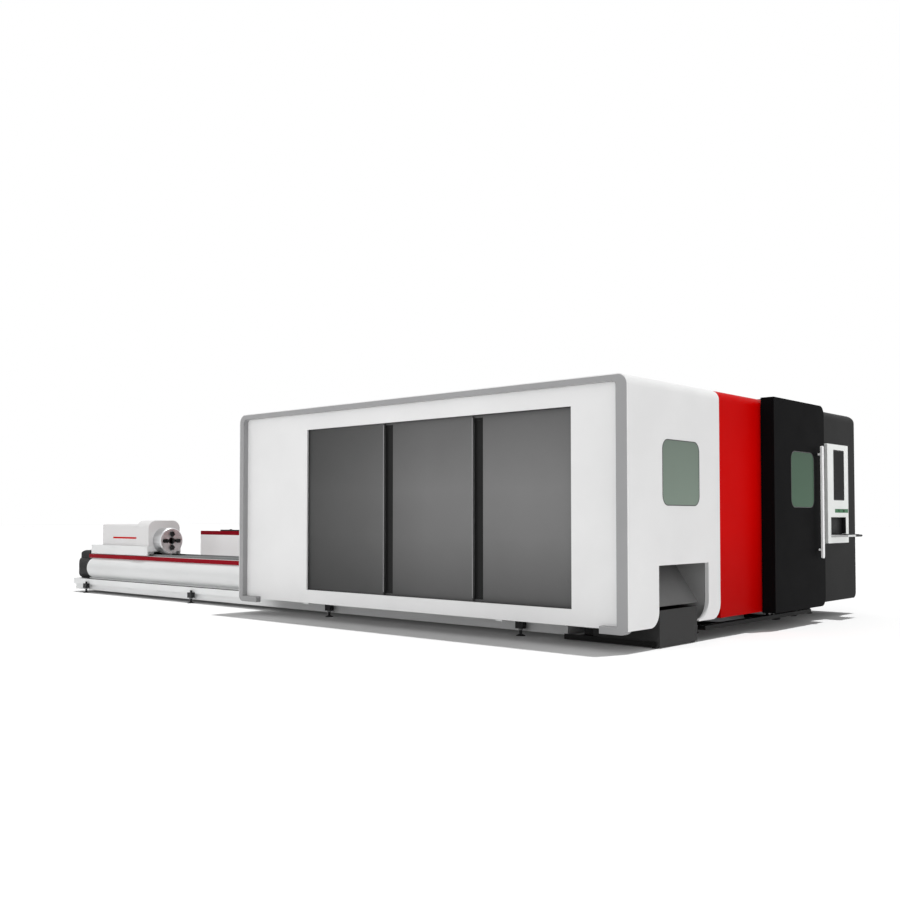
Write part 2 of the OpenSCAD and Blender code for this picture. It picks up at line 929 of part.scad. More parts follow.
// Louvred door, hinged on its outer edge
module service_door(side) {
    x_out = service_x + side * (service_w - service_gap);
    x_in = service_x + side * service_gap / 2;
    x0 = min(x_out, x_in);
    x1 = max(x_out, x_in);
    z0 = service_z0 + service_gap;
    z1 = service_z0 + service_h - service_gap;
    louvre_w = (x1 - x0) * 0.6;
    latch_x = x_in + side * latch_in;
    latch_z = service_z0 + service_h / 2;
    color(dark) placed() difference() {
        union() {
            box([x0, y_back - service_t, z0], [x1, y_back, z1]);
            for (i = [0:2])
                translate([hinge_x(side), hinge_y, hinge_z(i)]) {
                    cylinder(r = knuckle_r, h = knuckle_l, center = true);
                    translate([-side * hinge_plate / 2, hinge_leaf / 2 - knuckle_r - hinge_off, 0])
                        cube([hinge_plate, hinge_leaf, knuckle_l], center = true);
                }
            box([latch_x - latch_w / 2, y_back, latch_z - latch_h / 2],
                [latch_x + latch_w / 2, y_back + knuckle_r, latch_z + latch_h / 2]);
        }
        for (i = [0:2])
            translate([hinge_x(side), hinge_y, hinge_z(i)])
                cylinder(r = pin_r + run_gap, h = 2 * knuckle_l, center = true);
        for (z = [z0 + louvre_edge, z1 - louvre_edge - louvre_count * louvre_pitch],
             i = [0:louvre_count - 1])
            box([(x0 + x1 - louvre_w) / 2, y_back - service_t - cut, z + i * louvre_pitch],
                [(x0 + x1 + louvre_w) / 2, y_back + cut, z + i * louvre_pitch + louvre_pitch / 2]);
    }
}

module service_door_left() {
    service_door(-1);
}

module service_door_right() {
    service_door(1);
}

// Laser source with round fan recesses in the side behind the service doors
module laser_source() {
    x0 = service_x + unit_gap;
    y1 = y_cab + wall + unit_gap + unit_d;
    z0 = z_lo + wall;
    color(light) placed() difference() {
        box([x0, y_cab + wall + unit_gap, z0], [x0 + source_w, y1, z0 + source_h]);
        for (i = [0:fan_rows - 1])
            translate([x0 + source_w / 2, y1 - unit_gap, z0 + source_h * (i + 0.5) / fan_rows])
                rotate([-90, 0, 0]) cylinder(r = fan_r, h = unit_gap + cut);
    }
}

// Open rack with shelves that carry the drives and the controller
module control_rack() {
    x1 = service_x - unit_gap;
    y0 = y_cab + wall + unit_gap;
    z0 = z_lo + wall;
    shelf = rack_h / rack_rows;
    post = bar_w;
    color(grey) placed() difference() {
        box([x1 - rack_w, y0, z0], [x1, y0 + unit_d, z0 + rack_h]);
        for (i = [0:rack_rows - 1])
            box([x1 - rack_w + post, y0 + post, z0 + i * shelf + post / 2],
                [x1 - post, y0 + unit_d + cut, z0 + (i + 1) * shelf - post / 2]);
    }
}

module hmi_housing() {
    color(white) placed() difference() {
        along_x(0, hmi_d) rounded([hmi_y0, hmi_z0], [hmi_y1, hmi_z1], hmi_r, hmi_r, hmi_r, hmi_r);
        box([hmi_d - screen_t, screen_y0, screen_z0],
            [hmi_d + cut, screen_y0 + screen_w, screen_z0 + screen_h]);
        box([hmi_d - strip_t, strip_y0, strip_z0], [hmi_d + cut, hmi_y1 - hmi_skin, strip_z0 + strip_h]);
        for (i = [0, 1])
            translate([hmi_d - strip_t - button_reach, button_y(i), strip_z0 + strip_h / 2])
                rotate([0, 90, 0]) cylinder(r = button_r, h = button_reach + cut);
        box([hmi_skin, bay_y0, bay_z0], [hmi_d + cut, bay_y1, bay_z1]);
        translate([tray_x, bay_y0 - hinge_pin, tray_z])
            rotate([-90, 0, 0]) cylinder(r = hinge_r + run_gap, h = bay_y1 - bay_y0 + 2 * hinge_pin);
        translate([hmi_d / 2, hmi_y1 - knob_h, knob_z])
            rotate([-90, 0, 0]) cylinder(r = knob_r / 2 + run_gap, h = knob_h + cut);
    }
}

function button_y(i) = strip_y0 + (hmi_y1 - hmi_skin - strip_y0) * (1 + i) / 3;

module hmi_screen() {
    color(black) placed()
        box([hmi_d - screen_t, screen_y0 + fit, screen_z0 + fit],
            [hmi_d, screen_y0 + screen_w - fit, screen_z0 + screen_h - fit]);
}

module button_strip() {
    color(green) placed() difference() {
        box([hmi_d - strip_t, strip_y0 + fit, strip_z0 + fit],
            [hmi_d, hmi_y1 - hmi_skin - fit, strip_z0 + strip_h - fit]);
        for (i = [0, 1])
            translate([hmi_d - strip_t - cut, button_y(i), strip_z0 + strip_h / 2])
                rotate([0, 90, 0]) cylinder(r = button_r, h = strip_t + 2 * cut);
    }
}

// Push button that dips into its pocket in the panel
module push_button(i) {
    back = hmi_d - strip_t - button_reach + button_travel + cut;
    placed() translate([back, button_y(i), strip_z0 + strip_h / 2])
        rotate([0, 90, 0]) cylinder(r = button_r - run_gap, h = hmi_d + button_travel + cut - back);
}

module start_button() {
    color(green) push_button(0);
}

module stop_button() {
    color(dark) push_button(1);
}

// Turning knob on the side of the operator panel
module selector_knob() {
    color(black) placed() translate([hmi_d / 2, hmi_y1, knob_z]) {
        rotate([-90, 0, 0]) cylinder(r = knob_r, h = knob_h);
        translate([0, -knob_h + cut, 0]) rotate([-90, 0, 0]) cylinder(r = knob_r / 2, h = knob_h);
        translate([-knob_r, 0, -knob_r / 4]) cube([2 * knob_r, knob_h + knob_r / 4, knob_r / 2]);
    }
}

// Folding tray on a pin at the foot of the keyboard bay
module keyboard_tray() {
    y0 = bay_y0 + tray_gap;
    y1 = bay_y1 - tray_gap;
    color(light) placed() {
        difference() {
            along_y(y0, y1) {
                translate([tray_x, tray_z]) circle(tray_t / 2);
                rounded([tray_x, tray_z - tray_t / 2], [tray_x + tray_l, tray_z + tray_t / 2],
                        br = tray_t / 3, tr = tray_t / 3);
            }
            box([tray_x + keys_edge, y0 + keys_edge, tray_z + tray_t / 2 - keys_sink],
                [tray_x + tray_l - keys_edge, y1 - keys_edge, tray_z + tray_t]);
        }
        translate([tray_x, y0 - tray_gap - hinge_pin + cut, tray_z])
            rotate([-90, 0, 0]) cylinder(r = hinge_r, h = y1 - y0 + 2 * (tray_gap + hinge_pin - cut));
    }
}

// Keyboard of plain keys set in the tray
module keyboard() {
    x0 = tray_x + keys_edge + fit;
    y0 = bay_y0 + tray_gap + keys_edge + fit;
    x1 = tray_x + tray_l - keys_edge - fit;
    y1 = bay_y1 - tray_gap - keys_edge - fit;
    z0 = tray_z + tray_t / 2 - keys_sink;
    pitch_x = (x1 - x0 - key_gap) / key_rows;
    pitch_y = (y1 - y0 - key_gap) / key_cols;
    color(black) placed() {
        box([x0, y0, z0], [x1, y1, z0 + keys_h / 2]);
        for (i = [0:key_rows - 1], j = [0:key_cols - 1])
            box([x0 + key_gap + i * pitch_x, y0 + key_gap + j * pitch_y, z0 + keys_h / 2 - cut],
                [x0 + (i + 1) * pitch_x, y0 + (j + 1) * pitch_y, z0 + keys_h]);
    }
}

// Ledges for the two pallet levels on an inner face, facing +y for side 1 and -y for side -1
module pallet_ledges(x0, x1, y, side) {
    y0 = min(y, y + side * ledge_w);
    for (z = [upper_z, lower_z])
        box([x0, y0, z - ledge_h], [x1, y0 + ledge_w, z]);
}

// Start of cross tie number i of the sheet bed
function bed_tie_x(i) = bed_x0 + i * (bed_x1 - bed_x0 - tie_w) / bed_ties;

module sheet_bed() {
    color(steel) placed() {
        for (y = [girder_in0 - girder_w, girder_in1])
            box([bed_x0, y, girder_z0], [bed_x1, y + girder_w, girder_z]);
        pallet_ledges(bed_x0, bed_x1, girder_in0, 1);
        pallet_ledges(bed_x0, bed_x1, girder_in1, -1);
        for (i = [0:bed_ties])
            box([bed_tie_x(i), girder_in0 - cut, girder_z0],
                [bed_tie_x(i) + tie_w, girder_in1 + cut, girder_z0 + tie_h]);
    }
}

module gantry_rails() {
    color(steel) placed()
        for (y = [girder_in0 - girder_w / 2, girder_in1 + girder_w / 2])
            box([bed_x0 + rail_over, y - rail_s / 2, girder_z],
                [bed_x1 - rail_over, y + rail_s / 2, girder_z + rail_s]);
}

// Beam across the sheet bed that reaches over the tube, on two rail trucks
module gantry_beam() {
    x0 = -gantry_x - beam_w / 2;
    x1 = -gantry_x + beam_w / 2;
    truck_x0 = -gantry_x - truck_l / 2;
    truck_x1 = -gantry_x + truck_l / 2;
    foot = girder_z + truck_gap;
    shoulder = girder_z + truck_h / 2;
    color(light) placed() {
        difference() {
            box([x0, beam_y0, beam_z0], [x1, beam_y1, beam_z0 + beam_h]);
            for (i = [0:beam_pockets - 1])
                let (pitch = (beam_y1 - beam_y0) / beam_pockets)
                    box([x0 - cut, beam_y0 + (i + 0.12) * pitch, beam_z0 + beam_rib],
                        [x0 + beam_w / 2, beam_y0 + (i + 0.88) * pitch, beam_z0 + beam_h - beam_rib]);
        }
        for (z = guide_heights)
            box([x1 - cut, beam_y0 + guide_s, z - guide_s / 2],
                [x1 + guide_d, beam_y1 - guide_s, z + guide_s / 2]);
        for (y = [girder_in0 - girder_w / 2, girder_in1 + girder_w / 2])
            difference() {
                along_y(y - truck_w / 2, y + truck_w / 2) polygon([
                    [truck_x0, foot], [truck_x1, foot], [truck_x1, shoulder],
                    [x1, beam_z0 + cut], [x0, beam_z0 + cut], [truck_x0, shoulder]
                ]);
                box([truck_x0 - cut, y - rail_s / 2 - fit, girder_z],
                    [truck_x1 + cut, y + rail_s / 2 + fit, girder_z + rail_s]);
            }
    }
}

// Plate on four guide blocks, with the upright rail of the cutting head
module head_carriage() {
    x0 = -gantry_x + beam_w / 2;
    color(steel) placed() {
        box([x0 + guide_d + block_out, head_mid - plate_w / 2, plate_z0],
            [head_x, head_mid + plate_w / 2, plate_z0 + plate_h]);
        for (z = guide_heights, dy = [-plate_w / 4, plate_w / 4])
            difference() {
                box([x0 + block_out, head_mid + dy - guide_block_l / 2, z - guide_s],
                    [x0 + guide_d + block_out + cut, head_mid + dy + guide_block_l / 2, z + guide_s]);
                box([x0, head_mid + dy - guide_block_l, z - guide_s / 2 - fit],
                    [x0 + guide_d, head_mid + dy + guide_block_l, z + guide_s / 2 + fit]);
            }
        box([head_x - cut, head_mid - ram_rail_w / 2, plate_z0],
            [head_x + ram_rail_t, head_mid + ram_rail_w / 2, plate_z0 + plate_h]);
    }
}

// Ram with the focusing head and its conical nozzle
module cutting_head() {
    x0 = head_x + block_out;
    x1 = x0 + ram_t;
    z0 = ram_z0;
    color(black) placed() {
        difference() {
            box([x0, head_mid - ram_w / 2, z0], [x1, head_mid + ram_w / 2, z0 + ram_h]);
            box([x0 - cut, head_mid - ram_rail_w / 2 - fit, z0 - cut],
                [head_x + ram_rail_t, head_mid + ram_rail_w / 2 + fit, z0 + ram_h + cut]);
        }
        box([x1 - cut, head_mid - body_w / 2, z0], [x1 + body_d, head_mid + body_w / 2, z0 + body_h]);
        translate([x1 + body_d / 2, head_mid, z0 - nozzle_h]) rotate_extrude() polygon([
            [0, 0], [nozzle_r, 0], [body_d / 4, nozzle_h / 3], [body_d / 2.2, nozzle_h / 2],
            [body_d / 2.2, nozzle_h + cut], [0, nozzle_h + cut]
        ]);
    }
}

// Side cover outline: chord on the bed side, arc bulging out to side s
module cover_outline(s) {
    r = (cover_h * cover_h / 4 + cover_bulge * cover_bulge) / (2 * cover_bulge);
    y = tube_y + s * bed_w / 2;
    zm = cover_z0 + cover_h / 2;
    intersection() {
        translate([y + s * (cover_bulge - r), zm]) circle(r);
        rect([min(y, y + s * r), zm - cover_h / 2], [max(y, y + s * r), zm + cover_h / 2]);
    }
}

// Bed on its base beam, with the arms that carry the hood and the ties to the sheet bed
module tube_bed() {
    color(light) placed() {
        box([base_x0, tube_y - base_w / 2, base_z + base_step_h],
            [base_x1, tube_y + base_w / 2, base_z1]);
        box([base_x0, tube_y - base_w / 2 + base_step, base_z],
            [base_x1, tube_y + base_w / 2 - base_step, base_z + base_step_h + cut]);
        box([bed_end, tube_y - bed_w / 2, base_z1 - cut], [base_x1, tube_y + bed_w / 2, bed_z]);
        for (i = [2, 3])
            let (x = foot_x(i)) {
                box([x, panel_back, base_z1 - arm_h], [x + arm_bar, tube_y - base_w / 2 + cut, base_z1]);
                box([x + 2 * arm_bar, tube_y + base_w / 2 - cut, tie_z0],
                    [x + 3 * arm_bar, girder_in0 - girder_w, tie_z0 + arm_bar]);
            }
    }
}

module bed_side_covers() {
    color(white) placed()
        for (s = [-1, 1])
            along_x(bed_end + cap_wing, base_x1) cover_outline(s);
}

// Red bands along both sides of the tube bed and of the exchange table
module red_bands() {
    color(red) placed() {
        for (s = [-1, 1])
            let (y = tube_y + s * bed_w / 2)
                box([bed_end, min(y, y + s * stripe_t), bed_z - stripe_h],
                    [base_x1, max(y, y + s * stripe_t), bed_z]);
        for (y = [side_y0 - skin_t, side_y1])
            box([table_x0, y, table_z - band_h], [table_x1, y + skin_t, table_z]);
    }
}

// Black cap over the bed end, rounded in plan and in side view, with wings in line with the covers
module bed_end_cap() {
    x0 = bed_end - cap_l;
    x1 = bed_end + cap_wing;
    y0 = tube_y - bed_w / 2 - cut / 2;
    y1 = tube_y + bed_w / 2 + cut / 2;
    top = bed_z + cap_rise;
    r = base_w / 4;
    color(black) placed() intersection() {
        union() {
            along_x(x0, bed_end) rounded([y0, base_z1], [y1, top], tr = cap_rise, tl = cap_rise);
            for (s = [-1, 1])
                along_x(x0, x1) cover_outline(s);
        }
        along_y(tube_y - base_w / 2, tube_y + base_w / 2)
            rounded([x0, base_z1], [x1, top], bl = cap_foot_r, tl = cap_top_r);
        translate([0, 0, base_z1]) linear_extrude(top - base_z1)
            rounded([x0, tube_y - base_w / 2], [x1, tube_y + base_w / 2], bl = r, tl = r);
    }
}

module bed_ways() {
    color(steel) placed()
        for (s = [-1, 1])
            box([bed_end, tube_y + s * way_y - way_w / 2, bed_z],
                [-way_end, tube_y + s * way_y + way_w / 2, bed_z + way_h]);
}

function foot_x(i) = foot_first + i * foot_pitch;

// Screw foot with a round pad, from the floor to height h
module screw_foot(p, h, r = stem_r) {
    translate([p[0], p[1], 0]) rotate_extrude() polygon([
        [0, 0], [pad_r, 0], [pad_r, pad_h / 2], [2 * r, pad_h], [r, pad_h + r / 2], [r, h], [0, h]
    ]);
}

// Feet of the tube bed on side lugs, and plain feet under the other frames
module levelling_feet() {
    color(black) placed() {
        for (i = [0:3], s = [-1, 1])
            let (y = tube_y + s * (base_w / 2 + foot_out)) {
                screw_foot([foot_x(i), y], base_z + lug_h + foot_out);
                box([foot_x(i) - lug_w / 2, min(y - s * foot_out, y + s * foot_out), base_z + foot_out],
                    [foot_x(i) + lug_w / 2, max(y - s * foot_out, y + s * foot_out), base_z + lug_h]);
            }
        for (i = [0:bed_ties], y = [girder_in0 - girder_w / 2, girder_in1 + girder_w / 2])
            screw_foot([bed_tie_x(i) + tie_w / 2, y], girder_z0, 2 * stem_r);
        for (i = [0:2], y = [side_y0 + table_beam / 2, side_y1 - table_beam / 2])
            screw_foot([table_leg_x(i) + leg_w / 2, y], leg_z0, 1.5 * stem_r);
        for (x = [-hood_l + foot_in, -hood_l / 2, -foot_in], y = [y_cab + foot_in, y_back - foot_in])
            screw_foot([x, y], z_lo, 2 * stem_r);
    }
}

// Deck on four slide blocks over the bed ways, with skirts down both sides and its tail
module chuck_carriage() {
    y0 = tube_y - bed_w / 2;
    y1 = tube_y + bed_w / 2;
    skirt_z = bed_z + skirt_gap;
    tail_z = slide_z0 + skirt_gap;
    color(light) placed() {
        box([plate_x0, y0, deck_z0], [drum_x0, y1, deck_z1]);
        for (y = [y0, y1 - skirt_t])
            box([plate_x0, y, skirt_z], [drum_x0, y + skirt_t, deck_z0 + cut]);
        box([plate_x0, y0, tail_z], [plate_x0 + skirt_t, y1, deck_z0 + cut]);
        for (s = [-1, 1], x = [plate_x0 + slide_l, drum_x0 - 1.25 * slide_l])
            difference() {
                box([x, tube_y + s * way_y - slide_w / 2, bed_z + way_h / 3],
                    [x + slide_l, tube_y + s * way_y + slide_w / 2, deck_z0 + cut]);
                box([x - cut, tube_y + s * way_y - way_w / 2 - fit, bed_z],
                    [x + slide_l + cut, tube_y + s * way_y + way_w / 2 + fit, slide_z0]);
            }
    }
}

// Drive housing with the taller round-shouldered block that holds the chuck
module chuck_housing() {
    block_x0 = drum_x0 - block_l;
    color(white) placed() difference() {
        union() {
            along_x(block_x0 - housing_l, block_x0 + cut)
                rounded([tube_y - housing_w / 2, deck_z1], [tube_y + housing_w / 2, deck_z1 + housing_h],
                        tr = housing_r, tl = housing_r);
            along_x(block_x0, drum_x0)
                rounded([tube_y - front_block_w / 2, deck_z1],
                        [tube_y + front_block_w / 2, deck_z1 + front_block_h],
                        tr = front_block_r, tl = front_block_r);
        }
        translate([drum_x0 - spigot_l - cut, tube_y, axis_z])
            rotate([0, 90, 0]) cylinder(r = spigot_seat, h = spigot_l + 2 * cut);
    }
}

module housing_trim() {
    x1 = drum_x0 - block_l - trim_gap;
    color(red) placed()
        for (y = [tube_y - housing_w / 2 - trim_t, tube_y + housing_w / 2])
            box([x1 - trim_l, y, axis_z + trim_h], [x1, y + trim_t, axis_z + 2 * trim_h]);
}

// Chuck drum with its spindle behind it, its face at x = 0 and cross slots for the jaws
module chuck_drum(bore, spigot, tail, length) {
    difference() {
        rotate([0, 90, 0]) rotate_extrude() polygon([
            [bore, -length - tail], [spigot, -length - tail], [spigot, -length], [chuck_r, -length],
            [chuck_r, -drum_bevel], [chuck_r - drum_bevel, 0], [bore, 0]
        ]);
        for (a = [0:90:270])
            rotate([a, 0, 0]) box([-slot_d, -slot_half, 0], [cut, slot_half, slot_out]);
    }
}

// Stepped jaw that runs in a slot of the drum face, towards +z
module chuck_jaw(inner) {
    box([-slot_d, -slot_half + fit, inner], [cut, slot_half - fit, inner + jaw_l]);
    difference() {
        box([fit, -jaw_w / 2, inner], [jaw_t, jaw_w / 2, inner + jaw_l]);
        box([jaw_t / 2, -jaw_w, inner + 2 * jaw_l / 3], [jaw_t + cut, jaw_w, inner + jaw_l + cut]);
        for (s = [-1, 1])
            translate([0, 0, inner]) rotate([s * 45, 0, 0])
                translate([-cut, s > 0 ? 0 : -jaw_w, -jaw_w]) cube([jaw_t + 2 * cut, jaw_w, jaw_w]);
    }
}

module rear_chuck() {
    color(light) placed() translate([chuck_face, tube_y, axis_z])
        chuck_drum(rear_bore_r, spigot_r, spigot_l - cut, drum_l);
}

module rear_jaw(angle) {
    color(black) placed() translate([chuck_face, tube_y, axis_z]) rotate([angle, 0, 0]) chuck_jaw(jaw_in);
}

module rear_jaw_top() {
    rear_jaw(0);
}

module rear_jaw_bottom() {
    rear_jaw(180);
}

module rear_jaw_near() {
    rear_jaw(90);
}

module rear_jaw_far() {
    rear_jaw(270);
}

// Upright that holds the fixed chuck in front of the cutting place
module front_chuck_stand() {
    x1 = -front_chuck_x - front_drum_l;
    color(light) placed() difference() {
        along_x(x1 - stand_l, x1)
            rounded([tube_y - stand_w / 2, bed_z], [tube_y + stand_w / 2, stand_top],
                    tr = front_block_r, tl = front_block_r);
        translate([x1 - stand_l - cut, tube_y, axis_z])
            rotate([0, 90, 0]) cylinder(r = front_spigot_r + run_gap, h = stand_l + 2 * cut);
    }
}

module front_chuck() {
    color(light) placed() translate([-front_chuck_x, tube_y, axis_z])
        chuck_drum(front_bore_r, front_spigot_r, stand_l, front_drum_l);
}

module front_jaws() {
    color(black) placed() translate([-front_chuck_x, tube_y, axis_z])
        for (a = [0:90:270])
            rotate([a, 0, 0]) chuck_jaw(front_jaw_in);
}

function table_leg_x(i) = table_x0 + leg_w + i * (table_l - 3 * leg_w) / 2;

// Two side beams with pallet ledges on six legs and three cross bars
module table_frame() {
    color(light) placed() {
        for (y = [side_y0, girder_in1])
            box([table_x0, y, side_z0], [table_x1, y + table_beam, table_z]);
        pallet_ledges(table_x0, table_x1, girder_in0, 1);
        pallet_ledges(table_x0, table_x1, girder_in1, -1);
        for (i = [0:2]) {
            for (y = [side_y0, girder_in1])
                box([table_leg_x(i), y, leg_z0], [table_leg_x(i) + leg_w, y + table_beam, side_z0 + cut]);
            box([table_leg_x(i), side_y0, side_z0 - leg_w],
                [table_leg_x(i) + leg_w, side_y1, side_z0 - leg_w / 4]);
        }
    }
}

// White skins on both long sides and the outer end of the table
module table_covers() {
    color(white) placed() {
        for (y = [side_y0 - skin_t, side_y1])
            box([table_x0, y, skin_z0], [table_x1, y + skin_t, table_z - band_h]);
        box([table_x0 - skin_t, side_y0 - skin_t, skin_z0],
            [table_x0, side_y1 + skin_t, lower_z - ledge_h]);
    }
}

// Drive block of the pallet chain on the near side beam
module table_drive() {
    x0 = table_x0 + drive_from;
    color(black) placed() {
        box([x0, side_y0, table_z], [x0 + drive_l, girder_in0, table_z + drive_h]);
        translate([x0 + drive_l / 2, side_y0 + table_beam / 2, table_z + drive_h - cut])
            cylinder(d = table_beam - 2 * skin_t, h = drive_h / 2);
    }
}

// Welded frame with a slotted comb along each side, at height z and end x0
module pallet_frame(x0, z) {
    x1 = x0 + pallet_l;
    color(steel) placed() difference() {
        union() {
            for (y = [pallet_y0, pallet_y1 - bar_w])
                box([x0, y, z], [x1, y + bar_w, z + pallet_h]);
            for (x = [x0, x1 - bar_w])
                box([x, pallet_y0, z], [x + bar_w, pallet_y1, z + pallet_h]);
            for (y = [pallet_y0 + bar_w - cut, pallet_y1 - bar_w - comb_t + cut])
                box([x0 + bar_w - cut, y, z], [x1 - bar_w + cut, y + comb_t, z + pallet_h - cut]);
        }
        for (i = [1:slat_count])
            for (y = [pallet_y0 + bar_w, pallet_y1 - bar_w - comb_t])
                box([slat_x(x0, i) - slat_t / 2 - slat_play, y, z + comb_z],
                    [slat_x(x0, i) + slat_t / 2 + slat_play, y + comb_t, z + pallet_h + cut]);
    }
}

// Middle of slat number i of a pallet that starts at x0
function slat_x(x0, i) = x0 + pallet_l / 2 + (i - (slat_count + 1) / 2) * slat_pitch;

// Saw-toothed slats standing in the comb slots
module pallet_slats(x0, z) {
    y0 = pallet_y0 + bar_w + slat_play;
    y1 = pallet_y1 - bar_w - slat_play;
    teeth = floor((y1 - y0) / tooth_pitch);
    pitch = (y1 - y0) / teeth;
    top = z + comb_z + slat_h;
    color(dark) placed()
        for (i = [1:slat_count])
            along_x(slat_x(x0, i) - slat_t / 2, slat_x(x0, i) + slat_t / 2)
                polygon(concat(
                    [[y1, z + comb_z], [y0, z + comb_z], [y0, top - tooth_h]],
                    [for (k = [0:teeth - 1], p = [0, 1])
                        p == 0 ? [y0 + (k + 0.5) * pitch, top] : [y0 + (k + 1) * pitch, top - tooth_h]]
                ));
}

module upper_pallet() {
    pallet_frame(pallet_x0, upper_z);
}

module upper_slats() {
    pallet_slats(pallet_x0, upper_z);
}

module lower_pallet() {
    pallet_frame(pallet_x0 + pallet_stroke, lower_z);
}

module lower_slats() {
    pallet_slats(pallet_x0 + pallet_stroke, lower_z);
}

tube_hood();
hood_front_panel();
edge_border();
door_tracks();
door_leaf_left();
door_leaf_middle();
door_leaf_right();
middle_leaf_strip();
right_leaf_strip();
hood_window();
outlet_chute();
parts_bin();
sheet_hood();
front_door_rails();
front_door_panel();
front_door_trolleys();
front_door_glass();
front_door_handle();
utility_cabinet();
service_door_left();
service_door_right();
laser_source();
control_rack();
hmi_housing();
hmi_screen();
button_strip();
start_button();
stop_button();
selector_knob();
keyboard_tray();
keyboard();
sheet_bed();
gantry_rails();
gantry_beam();
head_carriage();
cutting_head();
tube_bed();
bed_side_covers();
red_bands();
bed_end_cap();
bed_ways();
levelling_feet();
chuck_carriage();
chuck_housing();
housing_trim();
rear_chuck();
rear_jaw_top();
rear_jaw_bottom();
rear_jaw_near();
rear_jaw_far();
front_chuck_stand();
front_chuck();
front_jaws();
table_frame();
table_covers();
table_drive();
upper_pallet();
upper_slats();
lower_pallet();
lower_slats();
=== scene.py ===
"""Looks of an enclosed fiber laser cutting machine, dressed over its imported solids."""
import json
import math

import bmesh
import bpy
from mathutils import Matrix, Vector


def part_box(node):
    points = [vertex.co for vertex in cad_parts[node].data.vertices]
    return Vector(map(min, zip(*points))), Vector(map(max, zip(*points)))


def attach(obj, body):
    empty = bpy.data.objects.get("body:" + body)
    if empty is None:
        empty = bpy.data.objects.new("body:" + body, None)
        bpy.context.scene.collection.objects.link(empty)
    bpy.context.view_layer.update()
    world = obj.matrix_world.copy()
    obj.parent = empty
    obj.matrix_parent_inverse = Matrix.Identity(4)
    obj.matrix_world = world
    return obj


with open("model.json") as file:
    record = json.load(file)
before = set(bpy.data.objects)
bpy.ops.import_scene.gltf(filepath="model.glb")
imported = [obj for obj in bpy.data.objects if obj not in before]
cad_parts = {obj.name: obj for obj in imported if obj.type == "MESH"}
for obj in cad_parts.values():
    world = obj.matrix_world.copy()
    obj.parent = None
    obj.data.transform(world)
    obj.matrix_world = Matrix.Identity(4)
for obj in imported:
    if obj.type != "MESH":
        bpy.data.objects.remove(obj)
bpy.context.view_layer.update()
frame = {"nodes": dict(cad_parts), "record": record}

# Places taken from the solids, in metres
HOOD_LO, HOOD_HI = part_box("tube_hood")
LEAF_LO, LEAF_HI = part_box("door_leaf_left")[0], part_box("door_leaf_right")[1]
PANE_LO, PANE_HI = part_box("hood_window")


# Camera, light and floor

WHITE = (1.0, 1.0, 1.0, 1.0)

CAMERA_AT = (9.7985, -9.9255, 1.152)
CAMERA_TURN = (math.radians(91.825), 0.0, math.radians(42.295))
CAMERA_SENSOR = 36.0
CAMERA_LENS = 40.74
CAMERA_SHIFT = 0.0392
CAMERA_REACH = 400.0


def show(obj):
    """Puts an object into the scene."""
    bpy.context.scene.collection.objects.link(obj)


def make_camera():
    """Camera at the photograph's viewing angle."""
    data = bpy.data.cameras.new("camera")
    data.sensor_width = CAMERA_SENSOR
    data.lens = CAMERA_LENS
    data.shift_y = CAMERA_SHIFT
    data.clip_end = CAMERA_REACH
    camera = bpy.data.objects.new("camera", data)
    camera.location = CAMERA_AT
    camera.rotation_euler = CAMERA_TURN
    show(camera)
    bpy.context.scene.camera = camera


def seen_mask(tree):
    """1 for rays that show the background as it is: camera, glossy and transmission rays."""
    path = tree.nodes.new("ShaderNodeLightPath")
    total = path.outputs["Is Camera Ray"]
    for name in ("Is Glossy Ray", "Is Transmission Ray"):
        largest = tree.nodes.new("ShaderNodeMath")
        largest.operation = "MAXIMUM"
        tree.links.new(total, largest.inputs[0])
        tree.links.new(path.outputs[name], largest.inputs[1])
        total = largest.outputs[0]
    return total


WORLD_SHOWN = 1.0
WORLD_LIGHT = 0.62


def make_world():
    """White background, which lights the object at a lower strength than it shows."""
    world = bpy.data.worlds.new("studio")
    bpy.context.scene.world = world
    world.use_nodes = True
    tree = world.node_tree
    tree.nodes.clear()
    mix = tree.nodes.new("ShaderNodeMixShader")
    out = tree.nodes.new("ShaderNodeOutputWorld")
    tree.links.new(seen_mask(tree), mix.inputs["Fac"])
    for place, strength in ((1, WORLD_LIGHT), (2, WORLD_SHOWN)):
        background = tree.nodes.new("ShaderNodeBackground")
        background.inputs["Color"].default_value = WHITE
        background.inputs["Strength"].default_value = strength
        tree.links.new(background.outputs[0], mix.inputs[place])
    tree.links.new(mix.outputs[0], out.inputs["Surface"])


SUN_SHADOW = (-0.05, -0.14, -1.0)
SUN_POWER = 1.55
SUN_SPREAD = 2.0
FLOOR_SUN = 2.3
FLOOR_SPREAD = 1.0

# Soft lamps: name, place, aim, size, power
SOFT_LAMPS = (
    ("front_soft", (1.0, -15.0, 3.2), (0.0, -2.5, 1.0), 9.0, 390.0),
    ("end_soft", (17.0, -1.0, 6.0), (5.0, 0.0, 1.0), 7.0, 160.0),
)


def turned_to(direction):
    """Turn of a lamp that shines in a direction."""
    return Vector(direction).to_track_quat("-Z", "Y").to_euler()


def add_sun(name, power, spread):
    """Sun from overhead, a little behind the object."""
    data = bpy.data.lights.new(name, "SUN")
    data.energy = power
    data.angle = math.radians(spread)
    sun = bpy.data.objects.new(name, data)
    sun.rotation_euler = turned_to(SUN_SHADOW)
    show(sun)
    return sun


def make_lights():
    """One sun, and soft lamps before the front and the end."""
    add_sun("overhead", SUN_POWER, SUN_SPREAD)
    for name, at, aim, size, power in SOFT_LAMPS:
        data = bpy.data.lights.new(name, "AREA")
        data.shape = "SQUARE"
        data.size = size
        data.energy = power
        lamp = bpy.data.objects.new(name, data)
        lamp.location = at
        lamp.rotation_euler = turned_to(Vector(aim) - Vector(at))
        lamp.visible_glossy = False
        show(lamp)


